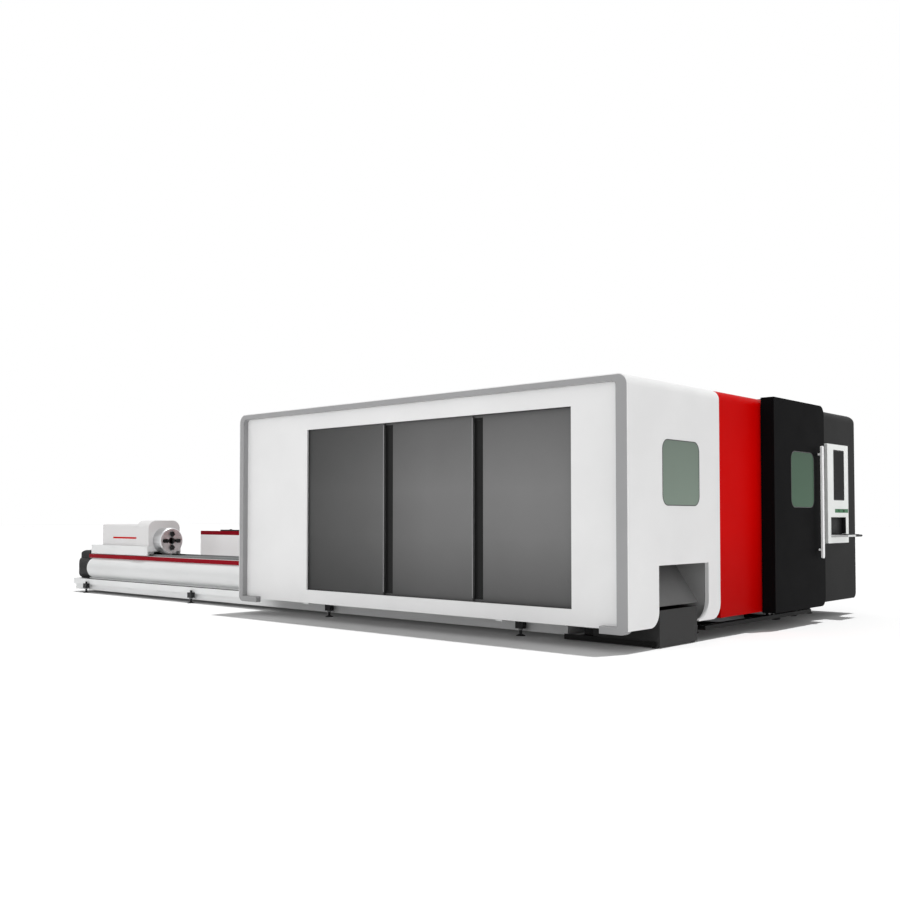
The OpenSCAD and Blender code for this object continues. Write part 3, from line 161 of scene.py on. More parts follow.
FLOOR_HALF = 120.0
FLOOR_LIFT = 0.03
FLOOR_TONE = 0.56


def light_floor(floor):
    """Lamp over the floor alone, which deepens the object's shadow on it."""
    lit = bpy.data.collections.new("lit_floor")
    lit.objects.link(floor)
    lamp = add_sun("floor_light", FLOOR_SUN, FLOOR_SPREAD)
    lamp.light_linking.receiver_collection = lit


def make_floor():
    """White floor that keeps the object's shadow."""
    mesh = bpy.data.meshes.new("floor")
    h = FLOOR_HALF
    mesh.from_pydata([(-h, -h, 0), (h, -h, 0), (h, h, 0), (-h, h, 0)], [], [(0, 1, 2, 3)])
    floor = bpy.data.objects.new("floor", mesh)
    show(floor)
    mat = bpy.data.materials.new("floor_white")
    mat.use_nodes = True
    tree = mat.node_tree
    tree.nodes.clear()
    diffuse = tree.nodes.new("ShaderNodeBsdfDiffuse")
    diffuse.inputs["Color"].default_value = (FLOOR_TONE, FLOOR_TONE, FLOOR_TONE, 1.0)
    glow = tree.nodes.new("ShaderNodeEmission")
    scale = tree.nodes.new("ShaderNodeMath")
    scale.operation = "MULTIPLY"
    scale.inputs[1].default_value = FLOOR_LIFT
    add = tree.nodes.new("ShaderNodeAddShader")
    out = tree.nodes.new("ShaderNodeOutputMaterial")
    tree.links.new(seen_mask(tree), scale.inputs[0])
    tree.links.new(scale.outputs[0], glow.inputs["Strength"])
    tree.links.new(diffuse.outputs[0], add.inputs[0])
    tree.links.new(glow.outputs[0], add.inputs[1])
    tree.links.new(add.outputs[0], out.inputs["Surface"])
    mesh.materials.append(mat)
    light_floor(floor)


# Materials: building blocks

EVEN = (1.0, 1.0, 1.0)
NOISE_LOW, NOISE_HIGH = 0.3, 0.7
COAT_ROUGH = 0.12


def srgb(r, g, b):
    """Screen colour, 0 to 255, as linear values."""
    def lin(v):
        v /= 255.0
        return v / 12.92 if v <= 0.04045 else ((v + 0.055) / 1.055) ** 2.4
    return (lin(r), lin(g), lin(b))


def shade(colour, factor):
    """Colour times a factor, with a full alpha."""
    return tuple(min(1.0, c * factor) for c in colour) + (1.0,)


class Surface:
    """A Principled material under construction, on object coordinates."""

    def __init__(self, name, metallic=0.0, coat=0.0, specular=0.5):
        self.mat = bpy.data.materials.new(name)
        self.mat.use_nodes = True
        self.tree = self.mat.node_tree
        self.bsdf = self.tree.nodes["Principled BSDF"]
        self.bsdf.inputs["Metallic"].default_value = metallic
        self.bsdf.inputs["Coat Weight"].default_value = coat
        self.bsdf.inputs["Coat Roughness"].default_value = COAT_ROUGH
        self.bsdf.inputs["Specular IOR Level"].default_value = specular
        self.coord = self.tree.nodes.new("ShaderNodeTexCoord").outputs["Object"]

    def node(self, kind, **settings):
        made = self.tree.nodes.new(kind)
        for key, value in settings.items():
            setattr(made, key, value)
        return made

    def link(self, source, target):
        self.tree.links.new(source, target)

    def noise(self, scale, detail, stretch=None):
        """Noise value, drawn out along the axes where stretch is small."""
        source = self.coord
        if stretch:
            mapping = self.node("ShaderNodeMapping")
            mapping.inputs["Scale"].default_value = stretch
            self.link(source, mapping.inputs["Vector"])
            source = mapping.outputs["Vector"]
        tex = self.node("ShaderNodeTexNoise")
        tex.inputs["Scale"].default_value = scale
        tex.inputs["Detail"].default_value = detail
        self.link(source, tex.inputs["Vector"])
        return tex.outputs["Fac"]

    def ramp(self, value, stops):
        """Colour ramp over (position, colour) stops."""
        ramp = self.node("ShaderNodeValToRGB")
        elements = ramp.color_ramp.elements
        while len(elements) < len(stops):
            elements.new(0.5)
        for element, (place, colour) in zip(elements, stops):
            element.position = place
            element.color = colour
        self.link(value, ramp.inputs["Fac"])
        return ramp.outputs["Color"]

    def fade(self, value, stops):
        """Grey ramp over (position, factor) stops, to multiply a colour with."""
        return self.ramp(value, [(place, shade(EVEN, factor)) for place, factor in stops])

    def mottle(self, value, colour, dark, light, low=NOISE_LOW, high=NOISE_HIGH):
        """Colour that a noise value turns from a darker to a lighter tone."""
        return self.ramp(value, [(low, shade(colour, dark)), (high, shade(colour, light))])

    def span(self, value, low, high, start=NOISE_LOW, end=NOISE_HIGH):
        """Value from start to end, as a number from low to high."""
        made = self.node("ShaderNodeMapRange")
        made.inputs["From Min"].default_value = start
        made.inputs["From Max"].default_value = end
        made.inputs["To Min"].default_value = low
        made.inputs["To Max"].default_value = high
        self.link(value, made.inputs["Value"])
        return made.outputs["Result"]

    def along(self, axis, start, end):
        """Share of the way from start to end along an axis."""
        split = self.node("ShaderNodeSeparateXYZ")
        self.link(self.coord, split.inputs[0])
        return self.span(split.outputs[axis], 0.0, 1.0, start, end)

    def multiply(self, first, second):
        mix = self.node("ShaderNodeMix", data_type="RGBA", blend_type="MULTIPLY")
        mix.inputs["Factor"].default_value = 1.0
        self.link(first, mix.inputs["A"])
        self.link(second, mix.inputs["B"])
        return mix.outputs["Result"]

    def bump(self, value, strength, depth):
        made = self.node("ShaderNodeBump")
        made.inputs["Strength"].default_value = strength
        made.inputs["Distance"].default_value = depth
        self.link(value, made.inputs["Height"])
        self.link(made.outputs["Normal"], self.bsdf.inputs["Normal"])

    def colour(self, output):
        self.link(output, self.bsdf.inputs["Base Color"])

    def rough(self, output):
        self.link(output, self.bsdf.inputs["Roughness"])


# Materials: kinds, with noise as (cells per metre, detail) and depths in metres

PAINT_CLOUD = (1.1, 4.0)
PAINT_GLOSS = (3.2, 5.0)
PAINT_GLOSS_SWING = 0.03
PEEL_DETAIL = 2.0
PEEL_BUMP = 0.25
# Shares of the hood's height up to which painted shade darkens the foot, and from which it darkens the
# head
PAINTED_FOOT_SHADE_TOP, PAINTED_HEAD_SHADE_START = 0.4, 0.7


def powder_coat(name, colour, rough=0.42, tone=0.035, peel=420.0, depth=0.0004, coat=0.0,
                specular=0.3, foot=1.0, head=1.0):
    """Sprayed paint: faint clouds of tone, orange peel, uneven gloss, and, where foot or head is below
    1, painted shade that darkens the bottom and the top of the hood's height.
    """
    s = Surface(name, coat=coat, specular=specular)
    paint = s.mottle(s.noise(*PAINT_CLOUD), colour, 1 - tone, 1 + tone)
    # Painted shade: the colour turns darker towards the bottom and the top
    if foot < 1.0 or head < 1.0:
        height = s.along("Z", HOOD_LO.z, HOOD_HI.z)
        fade = s.fade(height, [(0.0, foot), (PAINTED_FOOT_SHADE_TOP, 1.0), (PAINTED_HEAD_SHADE_START, 1.0), (1.0, head)])
        paint = s.multiply(paint, fade)
    s.colour(paint)
    s.rough(s.span(s.noise(*PAINT_GLOSS), rough - PAINT_GLOSS_SWING, rough + PAINT_GLOSS_SWING))
    s.bump(s.noise(peel, PEEL_DETAIL), PEEL_BUMP, depth)
    return s.mat


MOULD_SPECULAR = 0.15
MOULD_CLOUD = (6.0, 3.0)
MOULD_TONE = 0.06
MOULD_GLOSS = (40.0, 3.0)
MOULD_GLOSS_SWING = 0.08
MOULD_GRAIN = (900.0, 2.0)
MOULD_BUMP, MOULD_DEPTH = 0.35, 0.0004


def moulded(name, colour, rough=0.5):
    """Grained plastic."""
    s = Surface(name, specular=MOULD_SPECULAR)
    s.colour(s.mottle(s.noise(*MOULD_CLOUD), colour, 1 - MOULD_TONE, 1 + MOULD_TONE))
    s.rough(s.span(s.noise(*MOULD_GLOSS), rough - MOULD_GLOSS_SWING, rough + MOULD_GLOSS_SWING))
    s.bump(s.noise(*MOULD_GRAIN), MOULD_BUMP, MOULD_DEPTH)
    return s.mat


ALONG_X = (0.02, 1.0, 1.0)
ALONG_Y = (1.0, 0.02, 1.0)
ROUND = (0.05, 1.0, 1.0)
BRUSH_LINES = (60.0, 4.0)
BRUSH_TONE = 0.12
BRUSH_LOW, BRUSH_HIGH = 0.25, 0.75
BRUSH_SMOOTHER, BRUSH_ROUGHER = 0.08, 0.1
BRUSH_BUMP, BRUSH_DEPTH = 0.15, 0.0003


def brushed(name, colour, stretch, rough=0.32):
    """Ground or brushed metal with fine lines along the axis where stretch is small."""
    s = Surface(name, metallic=1.0)
    lines = s.noise(*BRUSH_LINES, stretch)
    s.colour(s.mottle(lines, colour, 1 - BRUSH_TONE, 1 + BRUSH_TONE, BRUSH_LOW, BRUSH_HIGH))
    s.rough(s.span(lines, rough - BRUSH_SMOOTHER, rough + BRUSH_ROUGHER))
    s.bump(lines, BRUSH_BUMP, BRUSH_DEPTH)
    return s.mat


CAST_METALLIC = 0.6
CAST_PITS = (160.0, 6.0)
CAST_DARK, CAST_LIGHT = 0.8, 1.25
CAST_SMOOTH, CAST_ROUGH = 0.45, 0.67
CAST_BUMP, CAST_DEPTH = 0.4, 0.0006


def cast(name, colour):
    """Blackened or cast iron with a pitted skin."""
    s = Surface(name, metallic=CAST_METALLIC)
    pits = s.noise(*CAST_PITS)
    s.colour(s.mottle(pits, colour, CAST_DARK, CAST_LIGHT))
    s.rough(s.span(pits, CAST_SMOOTH, CAST_ROUGH))
    s.bump(pits, CAST_BUMP, CAST_DEPTH)
    return s.mat


PANE_SPECULAR = 0.06
# Painted light on the panes: factors at the foot and at the head
PANE_PAINTED_LIGHT_FOOT, PANE_PAINTED_SHADE_HEAD = 1.08, 0.88
PANE_STREAKS = (2.0, 2.0, (1.0, 1.0, 0.25))
PANE_STREAK_TONE = 0.96
PANE_GLOSS = (5.0, 3.0)
PANE_SMOOTH, PANE_ROUGH = 0.06, 0.16


def pane(name, colour):
    """Tinted window pane with painted light, a little lighter towards its foot and darker towards its
    head, with faint streaks.
    """
    s = Surface(name, specular=PANE_SPECULAR)
    height = s.along("Z", PANE_LO.z, PANE_HI.z)
    tint_and_painted_light = s.mottle(height, colour, PANE_PAINTED_LIGHT_FOOT, PANE_PAINTED_SHADE_HEAD, 0.0, 1.0)
    streaks = s.mottle(s.noise(*PANE_STREAKS), EVEN, PANE_STREAK_TONE, 1.0)
    s.colour(s.multiply(tint_and_painted_light, streaks))
    s.rough(s.span(s.noise(*PANE_GLOSS), PANE_SMOOTH, PANE_ROUGH))
    return s.mat


LEAF_SPECULAR = 0.25
# Painted shade and light over the leaves, as (share, factor) stops: across X from the dark left end,
# and up Z, darker at the foot and head
LEAF_PAINTED_SHADE_ACROSS = ((0.0, 0.3), (0.26, 0.54), (0.5, 0.88), (0.85, 1.0))
LEAF_PAINTED_SHADE_UPWARD = ((0.0, 0.52), (0.35, 0.92), (0.6, 1.0), (1.0, 0.66))
LEAF_CLOUD = (1.5, 4.0)
LEAF_DARK, LEAF_LIGHT = 0.97, 1.03
LEAF_GLOSS = (4.0, 4.0)
LEAF_SMOOTH, LEAF_ROUGH = 0.36, 0.48
LEAF_PEEL = (500.0, 2.0)
LEAF_BUMP, LEAF_DEPTH = 0.2, 0.0003


def leaf_paint(name, colour):
    """Satin grey leaf with painted shade and painted light: darkest at the left end of the leaves,
    lighter over the middle, and darker towards its foot and head.
    """
    s = Surface(name, specular=LEAF_SPECULAR)
    painted_shade_x = s.fade(s.along("X", LEAF_LO.x, LEAF_HI.x), LEAF_PAINTED_SHADE_ACROSS)
    painted_shade_z = s.fade(s.along("Z", LEAF_LO.z, LEAF_HI.z), LEAF_PAINTED_SHADE_UPWARD)
    cloud = s.mottle(s.noise(*LEAF_CLOUD), colour, LEAF_DARK, LEAF_LIGHT)
    s.colour(s.multiply(s.multiply(painted_shade_x, painted_shade_z), cloud))
    s.rough(s.span(s.noise(*LEAF_GLOSS), LEAF_SMOOTH, LEAF_ROUGH))
    s.bump(s.noise(*LEAF_PEEL), LEAF_BUMP, LEAF_DEPTH)
    return s.mat


CHUTE_SPECULAR = 0.2
CHUTE_FOOT = 0.12
PLATE_T = 0.008
PLATE_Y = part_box("outlet_chute")[1].y - PLATE_T
EDGE_BLUR = 0.002
CHUTE_WEAR = (5.0, 5.0, (0.2, 1.0, 1.0))
CHUTE_WORN = 0.93
CHUTE_GLOSS = (6.0, 4.0)
CHUTE_SMOOTH, CHUTE_ROUGH = 0.36, 0.5
CHUTE_PEEL = (420.0, 2.0)
CHUTE_BUMP, CHUTE_DEPTH = 0.2, 0.0003


def chute_paint(name, sheet, runner, plate):
    """Worn paint of the outlet: grey sheet, dark runners near the floor, and the plate beside it
    lighter by painted light, which evens out the shade it lies in.
    """
    s = Surface(name, specular=CHUTE_SPECULAR)
    painted_light_mask = s.along("Y", PLATE_Y - EDGE_BLUR, PLATE_Y)
    above = s.along("Z", CHUTE_FOOT - EDGE_BLUR, CHUTE_FOOT)
    # Painted light: the plate beside the sheet takes a lighter grey than the sheet
    side = s.ramp(painted_light_mask, [(0.0, shade(sheet, 1.0)), (1.0, shade(plate, 1.0))])
    low = s.ramp(above, [(0.0, shade(runner, 1.0)), (1.0, WHITE)])
    wear = s.mottle(s.noise(*CHUTE_WEAR), EVEN, CHUTE_WORN, 1.0)
    s.colour(s.multiply(s.multiply(side, low), wear))
    s.rough(s.span(s.noise(*CHUTE_GLOSS), CHUTE_SMOOTH, CHUTE_ROUGH))
    s.bump(s.noise(*CHUTE_PEEL), CHUTE_BUMP, CHUTE_DEPTH)
    return s.mat


SCREEN_SPECULAR = 0.02
SCREEN_CLOUD = (3.0, 1.0)
SCREEN_DARK, SCREEN_LIGHT = 0.7, 1.3
SCREEN_GLOSS = (9.0, 3.0)
SCREEN_SMOOTH, SCREEN_ROUGH = 0.08, 0.18


def screen_glass(name, colour):
    """Dark display behind glossy glass, in soft clouds of tone."""
    s = Surface(name, specular=SCREEN_SPECULAR)
    s.colour(s.mottle(s.noise(*SCREEN_CLOUD), colour, SCREEN_DARK, SCREEN_LIGHT))
    s.rough(s.span(s.noise(*SCREEN_GLOSS), SCREEN_SMOOTH, SCREEN_ROUGH))
    return s.mat


def finishes(table):
    """Materials of a table of name: (kind, screen colour, settings)."""
    return {name: kind(name, srgb(*tone), **more) for name, (kind, tone, more) in table.items()}


# The record's slots
MATERIALS = finishes({
    "white_paint": (powder_coat, (228, 228, 228), {}),
    "grey_paint": (powder_coat, (153, 153, 154), {"rough": 0.38}),
    "dark_paint": (powder_coat, (62, 62, 62), {}),
    "leaf_paint": (leaf_paint, (120, 120, 120), {}),
    "black_trim": (moulded, (24, 24, 24), {"rough": 0.45}),
    "green_glass": (pane, (121, 135, 124), {}),
    "door_glass": (pane, (66, 94, 74), {}),
    # chute_paint's plate colour is a lighter grey of painted light
    "chute_paint": (chute_paint, (118, 118, 118), {"runner": srgb(40, 40, 40),
                                                   "plate": srgb(150, 150, 150)}),
    "bin_paint": (powder_coat, (56, 56, 56), {"tone": 0.06, "specular": 0.05}),
    # foot and head: painted shade, darker towards the bottom and the top
    "red_paint": (powder_coat, (202, 3, 2), {"rough": 0.38, "specular": 0.012, "foot": 0.72,
                                             "head": 0.92}),
    "rail_steel": (brushed, (120, 122, 122), {"stretch": ALONG_X}),
    "black_paint": (powder_coat, (13, 13, 14), {"rough": 0.45, "specular": 0.012}),
    "handle_white": (powder_coat, (246, 246, 246), {"rough": 0.25, "coat": 0.3}),
    # foot: painted shade, darker towards the bottom
    "cabinet_paint": (powder_coat, (48, 48, 48), {"peel": 260.0, "depth": 0.0007,
                                                  "specular": 0.015, "foot": 0.8}),
    "unit_paint": (powder_coat, (180, 182, 184), {}),
    "panel_white": (powder_coat, (236, 238, 236), {"rough": 0.35}),
    "screen_glass": (screen_glass, (26, 27, 27), {}),
    "green_plastic": (moulded, (40, 108, 66), {"rough": 0.35}),
    "dark_plastic": (moulded, (36, 36, 37), {}),
    "tray_paint": (powder_coat, (214, 215, 215), {}),
    "key_plastic": (moulded, (44, 44, 46), {}),
    "bed_paint": (powder_coat, (136, 139, 142), {}),
    "beam_aluminium": (brushed, (198, 200, 202), {"stretch": ALONG_Y}),
    "head_metal": (powder_coat, (46, 46, 48), {}),
    "base_paint": (powder_coat, (226, 227, 227), {}),
    "band_paint": (powder_coat, (140, 4, 24), {"rough": 0.3, "specular": 0.03}),
    "cap_plastic": (moulded, (24, 24, 25), {}),
    "foot_iron": (cast, (44, 44, 45), {}),
    "chuck_steel": (brushed, (205, 206, 207), {"stretch": ROUND, "rough": 0.36}),
    "jaw_steel": (cast, (36, 36, 37), {}),
    "slat_steel": (brushed, (140, 136, 132), {"stretch": ALONG_Y, "rough": 0.45}),
})

# Finishes of nodes that have a tone of their own, and of nodes with painted light or painted shade: the
# table covers' brighter white is painted light, the door rails' black is painted shade
TONES = finishes({
    "cover_white": (powder_coat, (216, 217, 217), {}),
    # Painted light: a brighter white for the table covers, which stand in shade
    "table_white": (powder_coat, (246, 246, 246), {}),
    "housing_white": (powder_coat, (219, 218, 218), {}),
    # Painted shade: the door rails in black, so they read as the shade under the hood
    "rail_black": (powder_coat, (24, 24, 24), {"specular": 0.05}),
})
NODE_TONE = {
    "bed_side_covers": "cover_white",
    "table_covers": "table_white",
    "chuck_housing": "housing_white",
    "front_door_rails": "rail_black",
}


def dress_nodes():
    """Gives every CAD node its finish."""
    slots = {row["node"]: row["material_slot"] for row in frame["record"]["subparts"]}
    for name, obj in frame["nodes"].items():
        mat = TONES[NODE_TONE[name]] if name in NODE_TONE else MATERIALS[slots[name]]
        obj.data.materials.clear()
        obj.data.materials.append(mat)


# Added pieces: building blocks

SINK = 0.0005
SHARP_ANGLE = 0.6
BAR_SOFT = 0.0015
TURN_STEPS = 24
CORNER_STEPS = 8
BEAD_STEPS = 6


def join(mesh_data, part, matrix=None):
    """Moves what a bmesh part holds into mesh_data, and frees the part."""
    mesh = bpy.data.meshes.new("part")
    part.to_mesh(mesh)
    part.free()
    if matrix:
        mesh.transform(matrix)
    mesh_data.from_mesh(mesh)
    bpy.data.meshes.remove(mesh)


def add_bar(target, low, high, soft=BAR_SOFT):
    """Rectangular bar between two corners, with rounded edges."""
    part = bmesh.new()
    bmesh.ops.create_cube(part, size=1.0)
    low, high = Vector(low), Vector(high)
    for vert in part.verts:
        vert.co = Vector(low[i] + (vert.co[i] + 0.5) * (high[i] - low[i]) for i in range(3))
    bmesh.ops.bevel(part, geom=part.edges[:], offset=soft, segments=2, profile=0.5,
                    affect="EDGES", clamp_overlap=True)
    join(target, part)


def hexagon(angle):
    """Reach of a hexagon's outline at an angle, where its flats are 1 from its middle."""
    turn = math.pi / 3
    return 1.0 / math.cos((angle % turn) - turn / 2)


def add_turned(target, rings, matrix):
    """Turned form: rings of (radius, height, hexagonal) joined by faces, closed at both ends."""
    part = bmesh.new()
    loops = []
    for radius, height, hexed in rings:
        loop = []
        for i in range(TURN_STEPS):
            angle = 2 * math.pi * i / TURN_STEPS
            r = radius * (hexagon(angle) if hexed else 1.0)
            loop.append(part.verts.new((r * math.cos(angle), r * math.sin(angle), height)))
        loops.append(loop)
    for first, second in zip(loops, loops[1:]):
        for i in range(TURN_STEPS):
            j = (i + 1) % TURN_STEPS
            part.faces.new((first[i], first[j], second[j], second[i]))
    part.faces.new(list(reversed(loops[0])))
    part.faces.new(loops[-1])
    join(target, part, matrix)


def half_turn(steps):
    """Angles over half a turn."""
    return [math.pi * i / steps for i in range(steps + 1)]


def rounded_path(low, high, radius):
    """Points and outward directions round a rectangle with rounded corners."""
    path = []
    corners = ((high[0] - radius, high[1] - radius, 0), (low[0] + radius, high[1] - radius, 1),
               (low[0] + radius, low[1] + radius, 2), (high[0] - radius, low[1] + radius, 3))
    for cx, cy, quarter in corners:
        for i in range(CORNER_STEPS + 1):
            angle = math.pi / 2 * (quarter + i / CORNER_STEPS)
            out = (math.cos(angle), math.sin(angle))
            path.append(((cx + radius * out[0], cy + radius * out[1]), out))
    return path


def bead(width, rise):
    """Half-round bead profile, let into the face it lies on."""
    arc = [(-width / 2 * math.cos(a), rise * math.sin(a)) for a in half_turn(BEAD_STEPS)]
    return [(-width / 2, -SINK)] + arc + [(width / 2, -SINK)]


def add_frame(target, path, profile, to_space):
    """Sweeps a closed profile of (outward, upward) points round a closed path."""
    part = bmesh.new()
    rows = []
    for (u, v), (du, dv) in path:
        rows.append([part.verts.new(to_space(u + du * d, v + dv * d, w)) for d, w in profile])
    count = len(profile)
    for i, row in enumerate(rows):
        following = rows[(i + 1) % len(rows)]
        for k in range(count):
            n = (k + 1) % count
            part.faces.new((row[k], row[n], following[n], following[k]))
    bmesh.ops.recalc_face_normals(part, faces=part.faces[:])
    join(target, part)


def add_end_frame(target, node, corner, profile):
    """Frame round a node's outline, on the face of it that looks along X."""
    low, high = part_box(node)
    path = rounded_path((low.y, low.z), (high.y, high.z), corner)
    add_frame(target, path, profile, lambda u, v, w: (high.x + w, u, v))


def add_swept(target, profile, start, end, to_space):
    """Closed bar that carries a profile of (across, up) points along a straight line."""
    part = bmesh.new()
    ends = [[part.verts.new(to_space(a, b, t)) for a, b in profile] for t in (start, end)]
    count = len(profile)
    for k in range(count):
        n = (k + 1) % count
        part.faces.new((ends[0][k], ends[0][n], ends[1][n], ends[1][k]))
    part.faces.new(list(reversed(ends[0])))
    part.faces.new(ends[1])
    bmesh.ops.recalc_face_normals(part, faces=part.faces[:])
    join(target, part)


def piece(name, mesh_data, body, slot):
    """Turns a bmesh into a piece that rides on a body and wears a slot's finish."""
    mesh = bpy.data.meshes.new(name)
    mesh_data.to_mesh(mesh)
    mesh_data.free()
    mesh.materials.append(MATERIALS[slot])
    mesh.shade_smooth()
    mesh.set_sharp_from_angle(angle=SHARP_ANGLE)
    obj = bpy.data.objects.new(name, mesh)
    show(obj)
    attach(obj, body)


# Added pieces: what the solids leave out, in metres

GASKET_W = 0.008
GASKET_RISE = 0.003
PANE_CORNER = 0.09


def make_gaskets():
    """Rubber beads over the joints between the panes and their frames."""
    for name, node, body in (("end_window_gasket", "hood_window", "machine"),
                             ("door_window_gasket", "front_door_glass", "front_door")):
        ring = bmesh.new()
        add_end_frame(ring, node, PANE_CORNER, bead(GASKET_W, GASKET_RISE))
        piece(name, ring, body, "dark_paint")


LEAF_EDGE_T = 0.0015
LEAF_EDGE_IN = 0.005
LEAF_END = 0.05


def make_leaf_edges():
    """Light edge profiles on the closing edges of the leaves."""
    for node, body in (("door_leaf_left", "leaf_left"), ("door_leaf_middle", "leaf_middle")):
        low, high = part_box(node)
        t, x, y0 = LEAF_EDGE_T, high.x, low.y
        outline = [(x + t, y0 - t), (x + t, y0 + LEAF_EDGE_IN), (x - SINK, y0 + LEAF_EDGE_IN),
                   (x - SINK, y0 + SINK), (x - LEAF_EDGE_IN, y0 + SINK), (x - LEAF_EDGE_IN, y0 - t)]
        bar = bmesh.new()
        add_swept(bar, outline, low.z + LEAF_END, high.z - LEAF_END, lambda a, b, z: (a, b, z))
        piece(node + "_edge", bar, body, "grey_paint")


POST_T = 0.005
POST_FOOT = 0.021
POST_HEAD = 0.031
BUFFER_R = 0.0035
BUFFER_STEPS = 8


def make_leaf_posts():
    """Closing posts at both ends of the leaves' tracks, with a rubber buffer in line with each leaf."""
    low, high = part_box("door_tracks")
    z0, z1 = LEAF_LO.z + POST_FOOT, LEAF_HI.z - POST_HEAD
    posts = bmesh.new()
    for x, side in ((low.x, 1), (high.x, -1)):
        face = x + side * POST_T
        add_bar(posts, (min(x, face), low.y, z0), (max(x, face), high.y, z1))
        for node in ("door_leaf_left", "door_leaf_middle", "door_leaf_right"):
            y = (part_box(node)[0].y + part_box(node)[1].y) / 2
            outline = [(face + side * (BUFFER_R * math.sin(a) - SINK), y + BUFFER_R * math.cos(a))
                       for a in half_turn(BUFFER_STEPS)]
            add_swept(posts, outline, z0, z1, lambda a, b, z: (a, b, z))
    piece("leaf_end_posts", posts, "machine", "black_trim")


BEZEL_W = 0.014
BEZEL_RISE = 0.002


def make_screen_bezel():
    """Bezel round the screen of the operator panel."""
    ring = bmesh.new()
    flat = [(-BEZEL_W / 2, -SINK), (-BEZEL_W / 2, BEZEL_RISE / 2), (-BEZEL_W / 4, BEZEL_RISE),
            (BEZEL_W / 4, BEZEL_RISE), (BEZEL_W / 2, BEZEL_RISE / 2), (BEZEL_W / 2, -SINK)]
    add_end_frame(ring, "hmi_screen", BEZEL_W / 2, flat)
    piece("screen_bezel", ring, "machine", "dark_plastic")


# Keyboard bay in its housing, as part.scad has it, and its liner
BAY_IN = 0.01
BAY_SIDE = 0.09
BAY_OTHER = 0.08
BAY_FOOT = 0.068
BAY_HEAD = 0.298
LINER_T = 0.002
LINER_UP = 0.04


def make_bay_liner():
    """Dark liner on the back, the head and the sides of the keyboard bay."""
    low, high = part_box("hmi_housing")
    x0, x1 = low.x + BAY_IN, high.x - LINER_T
    y0, y1 = low.y + BAY_SIDE, high.y - BAY_OTHER
    z0, z1 = low.z + BAY_FOOT, low.z + BAY_HEAD
    t, soft = LINER_T, LINER_T / 4
    liner = bmesh.new()
    add_bar(liner, (x0, y0, z0), (x0 + t, y1, z1), soft)
    add_bar(liner, (x0, y0, z1 - t), (x1, y1, z1), soft)
    for y in (y0, y1 - t):
        add_bar(liner, (x0, y, z0 + LINER_UP), (x1, y + t, z1), soft)
    piece("keyboard_bay_liner", liner, "machine", "dark_plastic")


NOSE_OUT = 0.0025
NOSE_BACK = 0.03
NOSE_SKIN = 0.0012
NOSE_SHARE = 0.42
NOSE_STEPS = 10
TRAY_PIN = 0.0175


def make_tray_nose():
    """Dark edge guard wrapped round the far part of the keyboard tray's free edge."""
    low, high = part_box("keyboard_tray")
    z0, z1, x1 = low.z - NOSE_SKIN, high.z + NOSE_SKIN, high.x + NOSE_OUT
    xb = high.x - NOSE_BACK
    r = (z1 - z0) / 2
    arc = [(x1 - r + r * math.sin(a), (z0 + z1) / 2 - r * math.cos(a)) for a in half_turn(NOSE_STEPS)]
    outline = [(xb, z0)] + arc + [(xb, z1), (xb, high.z - SINK), (high.x - SINK, high.z - SINK),
                                  (high.x - SINK, low.z + SINK), (xb, low.z + SINK)]
    y1 = high.y - TRAY_PIN
    y0 = y1 - (high.y - low.y) * NOSE_SHARE
    guard = bmesh.new()
    add_swept(guard, outline, y0, y1, lambda a, b, y: (a, y, b))
    piece("tray_edge_guard", guard, "tray", "dark_plastic")


# Rings of a cap screw over its foot: share of its radius, share of its rise, hexagonal
SCREW_RINGS = ((1.0, 0.85, False), (0.9, 1.0, False), (0.5, 1.0, True), (0.5, 0.4, True),
               (0.1, 0.35, False))
SCREW_RISE = 0.55
FACE_SCREW_R = 0.009
FACE_SCREW_AT = 0.155
FACE_SCREW_TURNS = [90.0 * quarter + turn for quarter in range(4) for turn in (30.0, 60.0)]
JAW_SCREW_R = 0.0085
JAW_STEP = 0.02

# Jaw screws: share of the jaw's length outward from its middle, depth behind its face
JAW_SCREWS = ((-1 / 8, 0.0), (1 / 3, JAW_STEP))
JAWS = (("rear_jaw_top", "jaw_top", 0.0), ("rear_jaw_far", "jaw_far", 90.0),
        ("rear_jaw_bottom", "jaw_bottom", 180.0), ("rear_jaw_near", "jaw_near", 270.0))


def add_face_screw(target, place, radius):
    """Cap screw head on a face that looks along X, with a chamfered rim and a hexagon socket."""
    rise = radius * SCREW_RISE
    rings = [(radius, -SINK, False)]
    rings += [(radius * r, rise * h, hexed) for r, h, hexed in SCREW_RINGS]
    turn = Vector((1.0, 0.0, 0.0)).to_track_quat("Z", "Y").to_matrix().to_4x4()
    add_turned(target, rings, Matrix.Translation(place) @ turn)


def radial(angle, distance):
    """Offset in the chuck's face plane, with angle 0 straight up and 90 towards the back."""
    a = math.radians(angle)
    return Vector((0.0, math.sin(a) * distance, math.cos(a) * distance))


def face_middle(node):
    """Middle of the face of a node that looks along X."""
    low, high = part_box(node)
    return Vector((high.x, (low.y + high.y) / 2, (low.z + high.z) / 2))


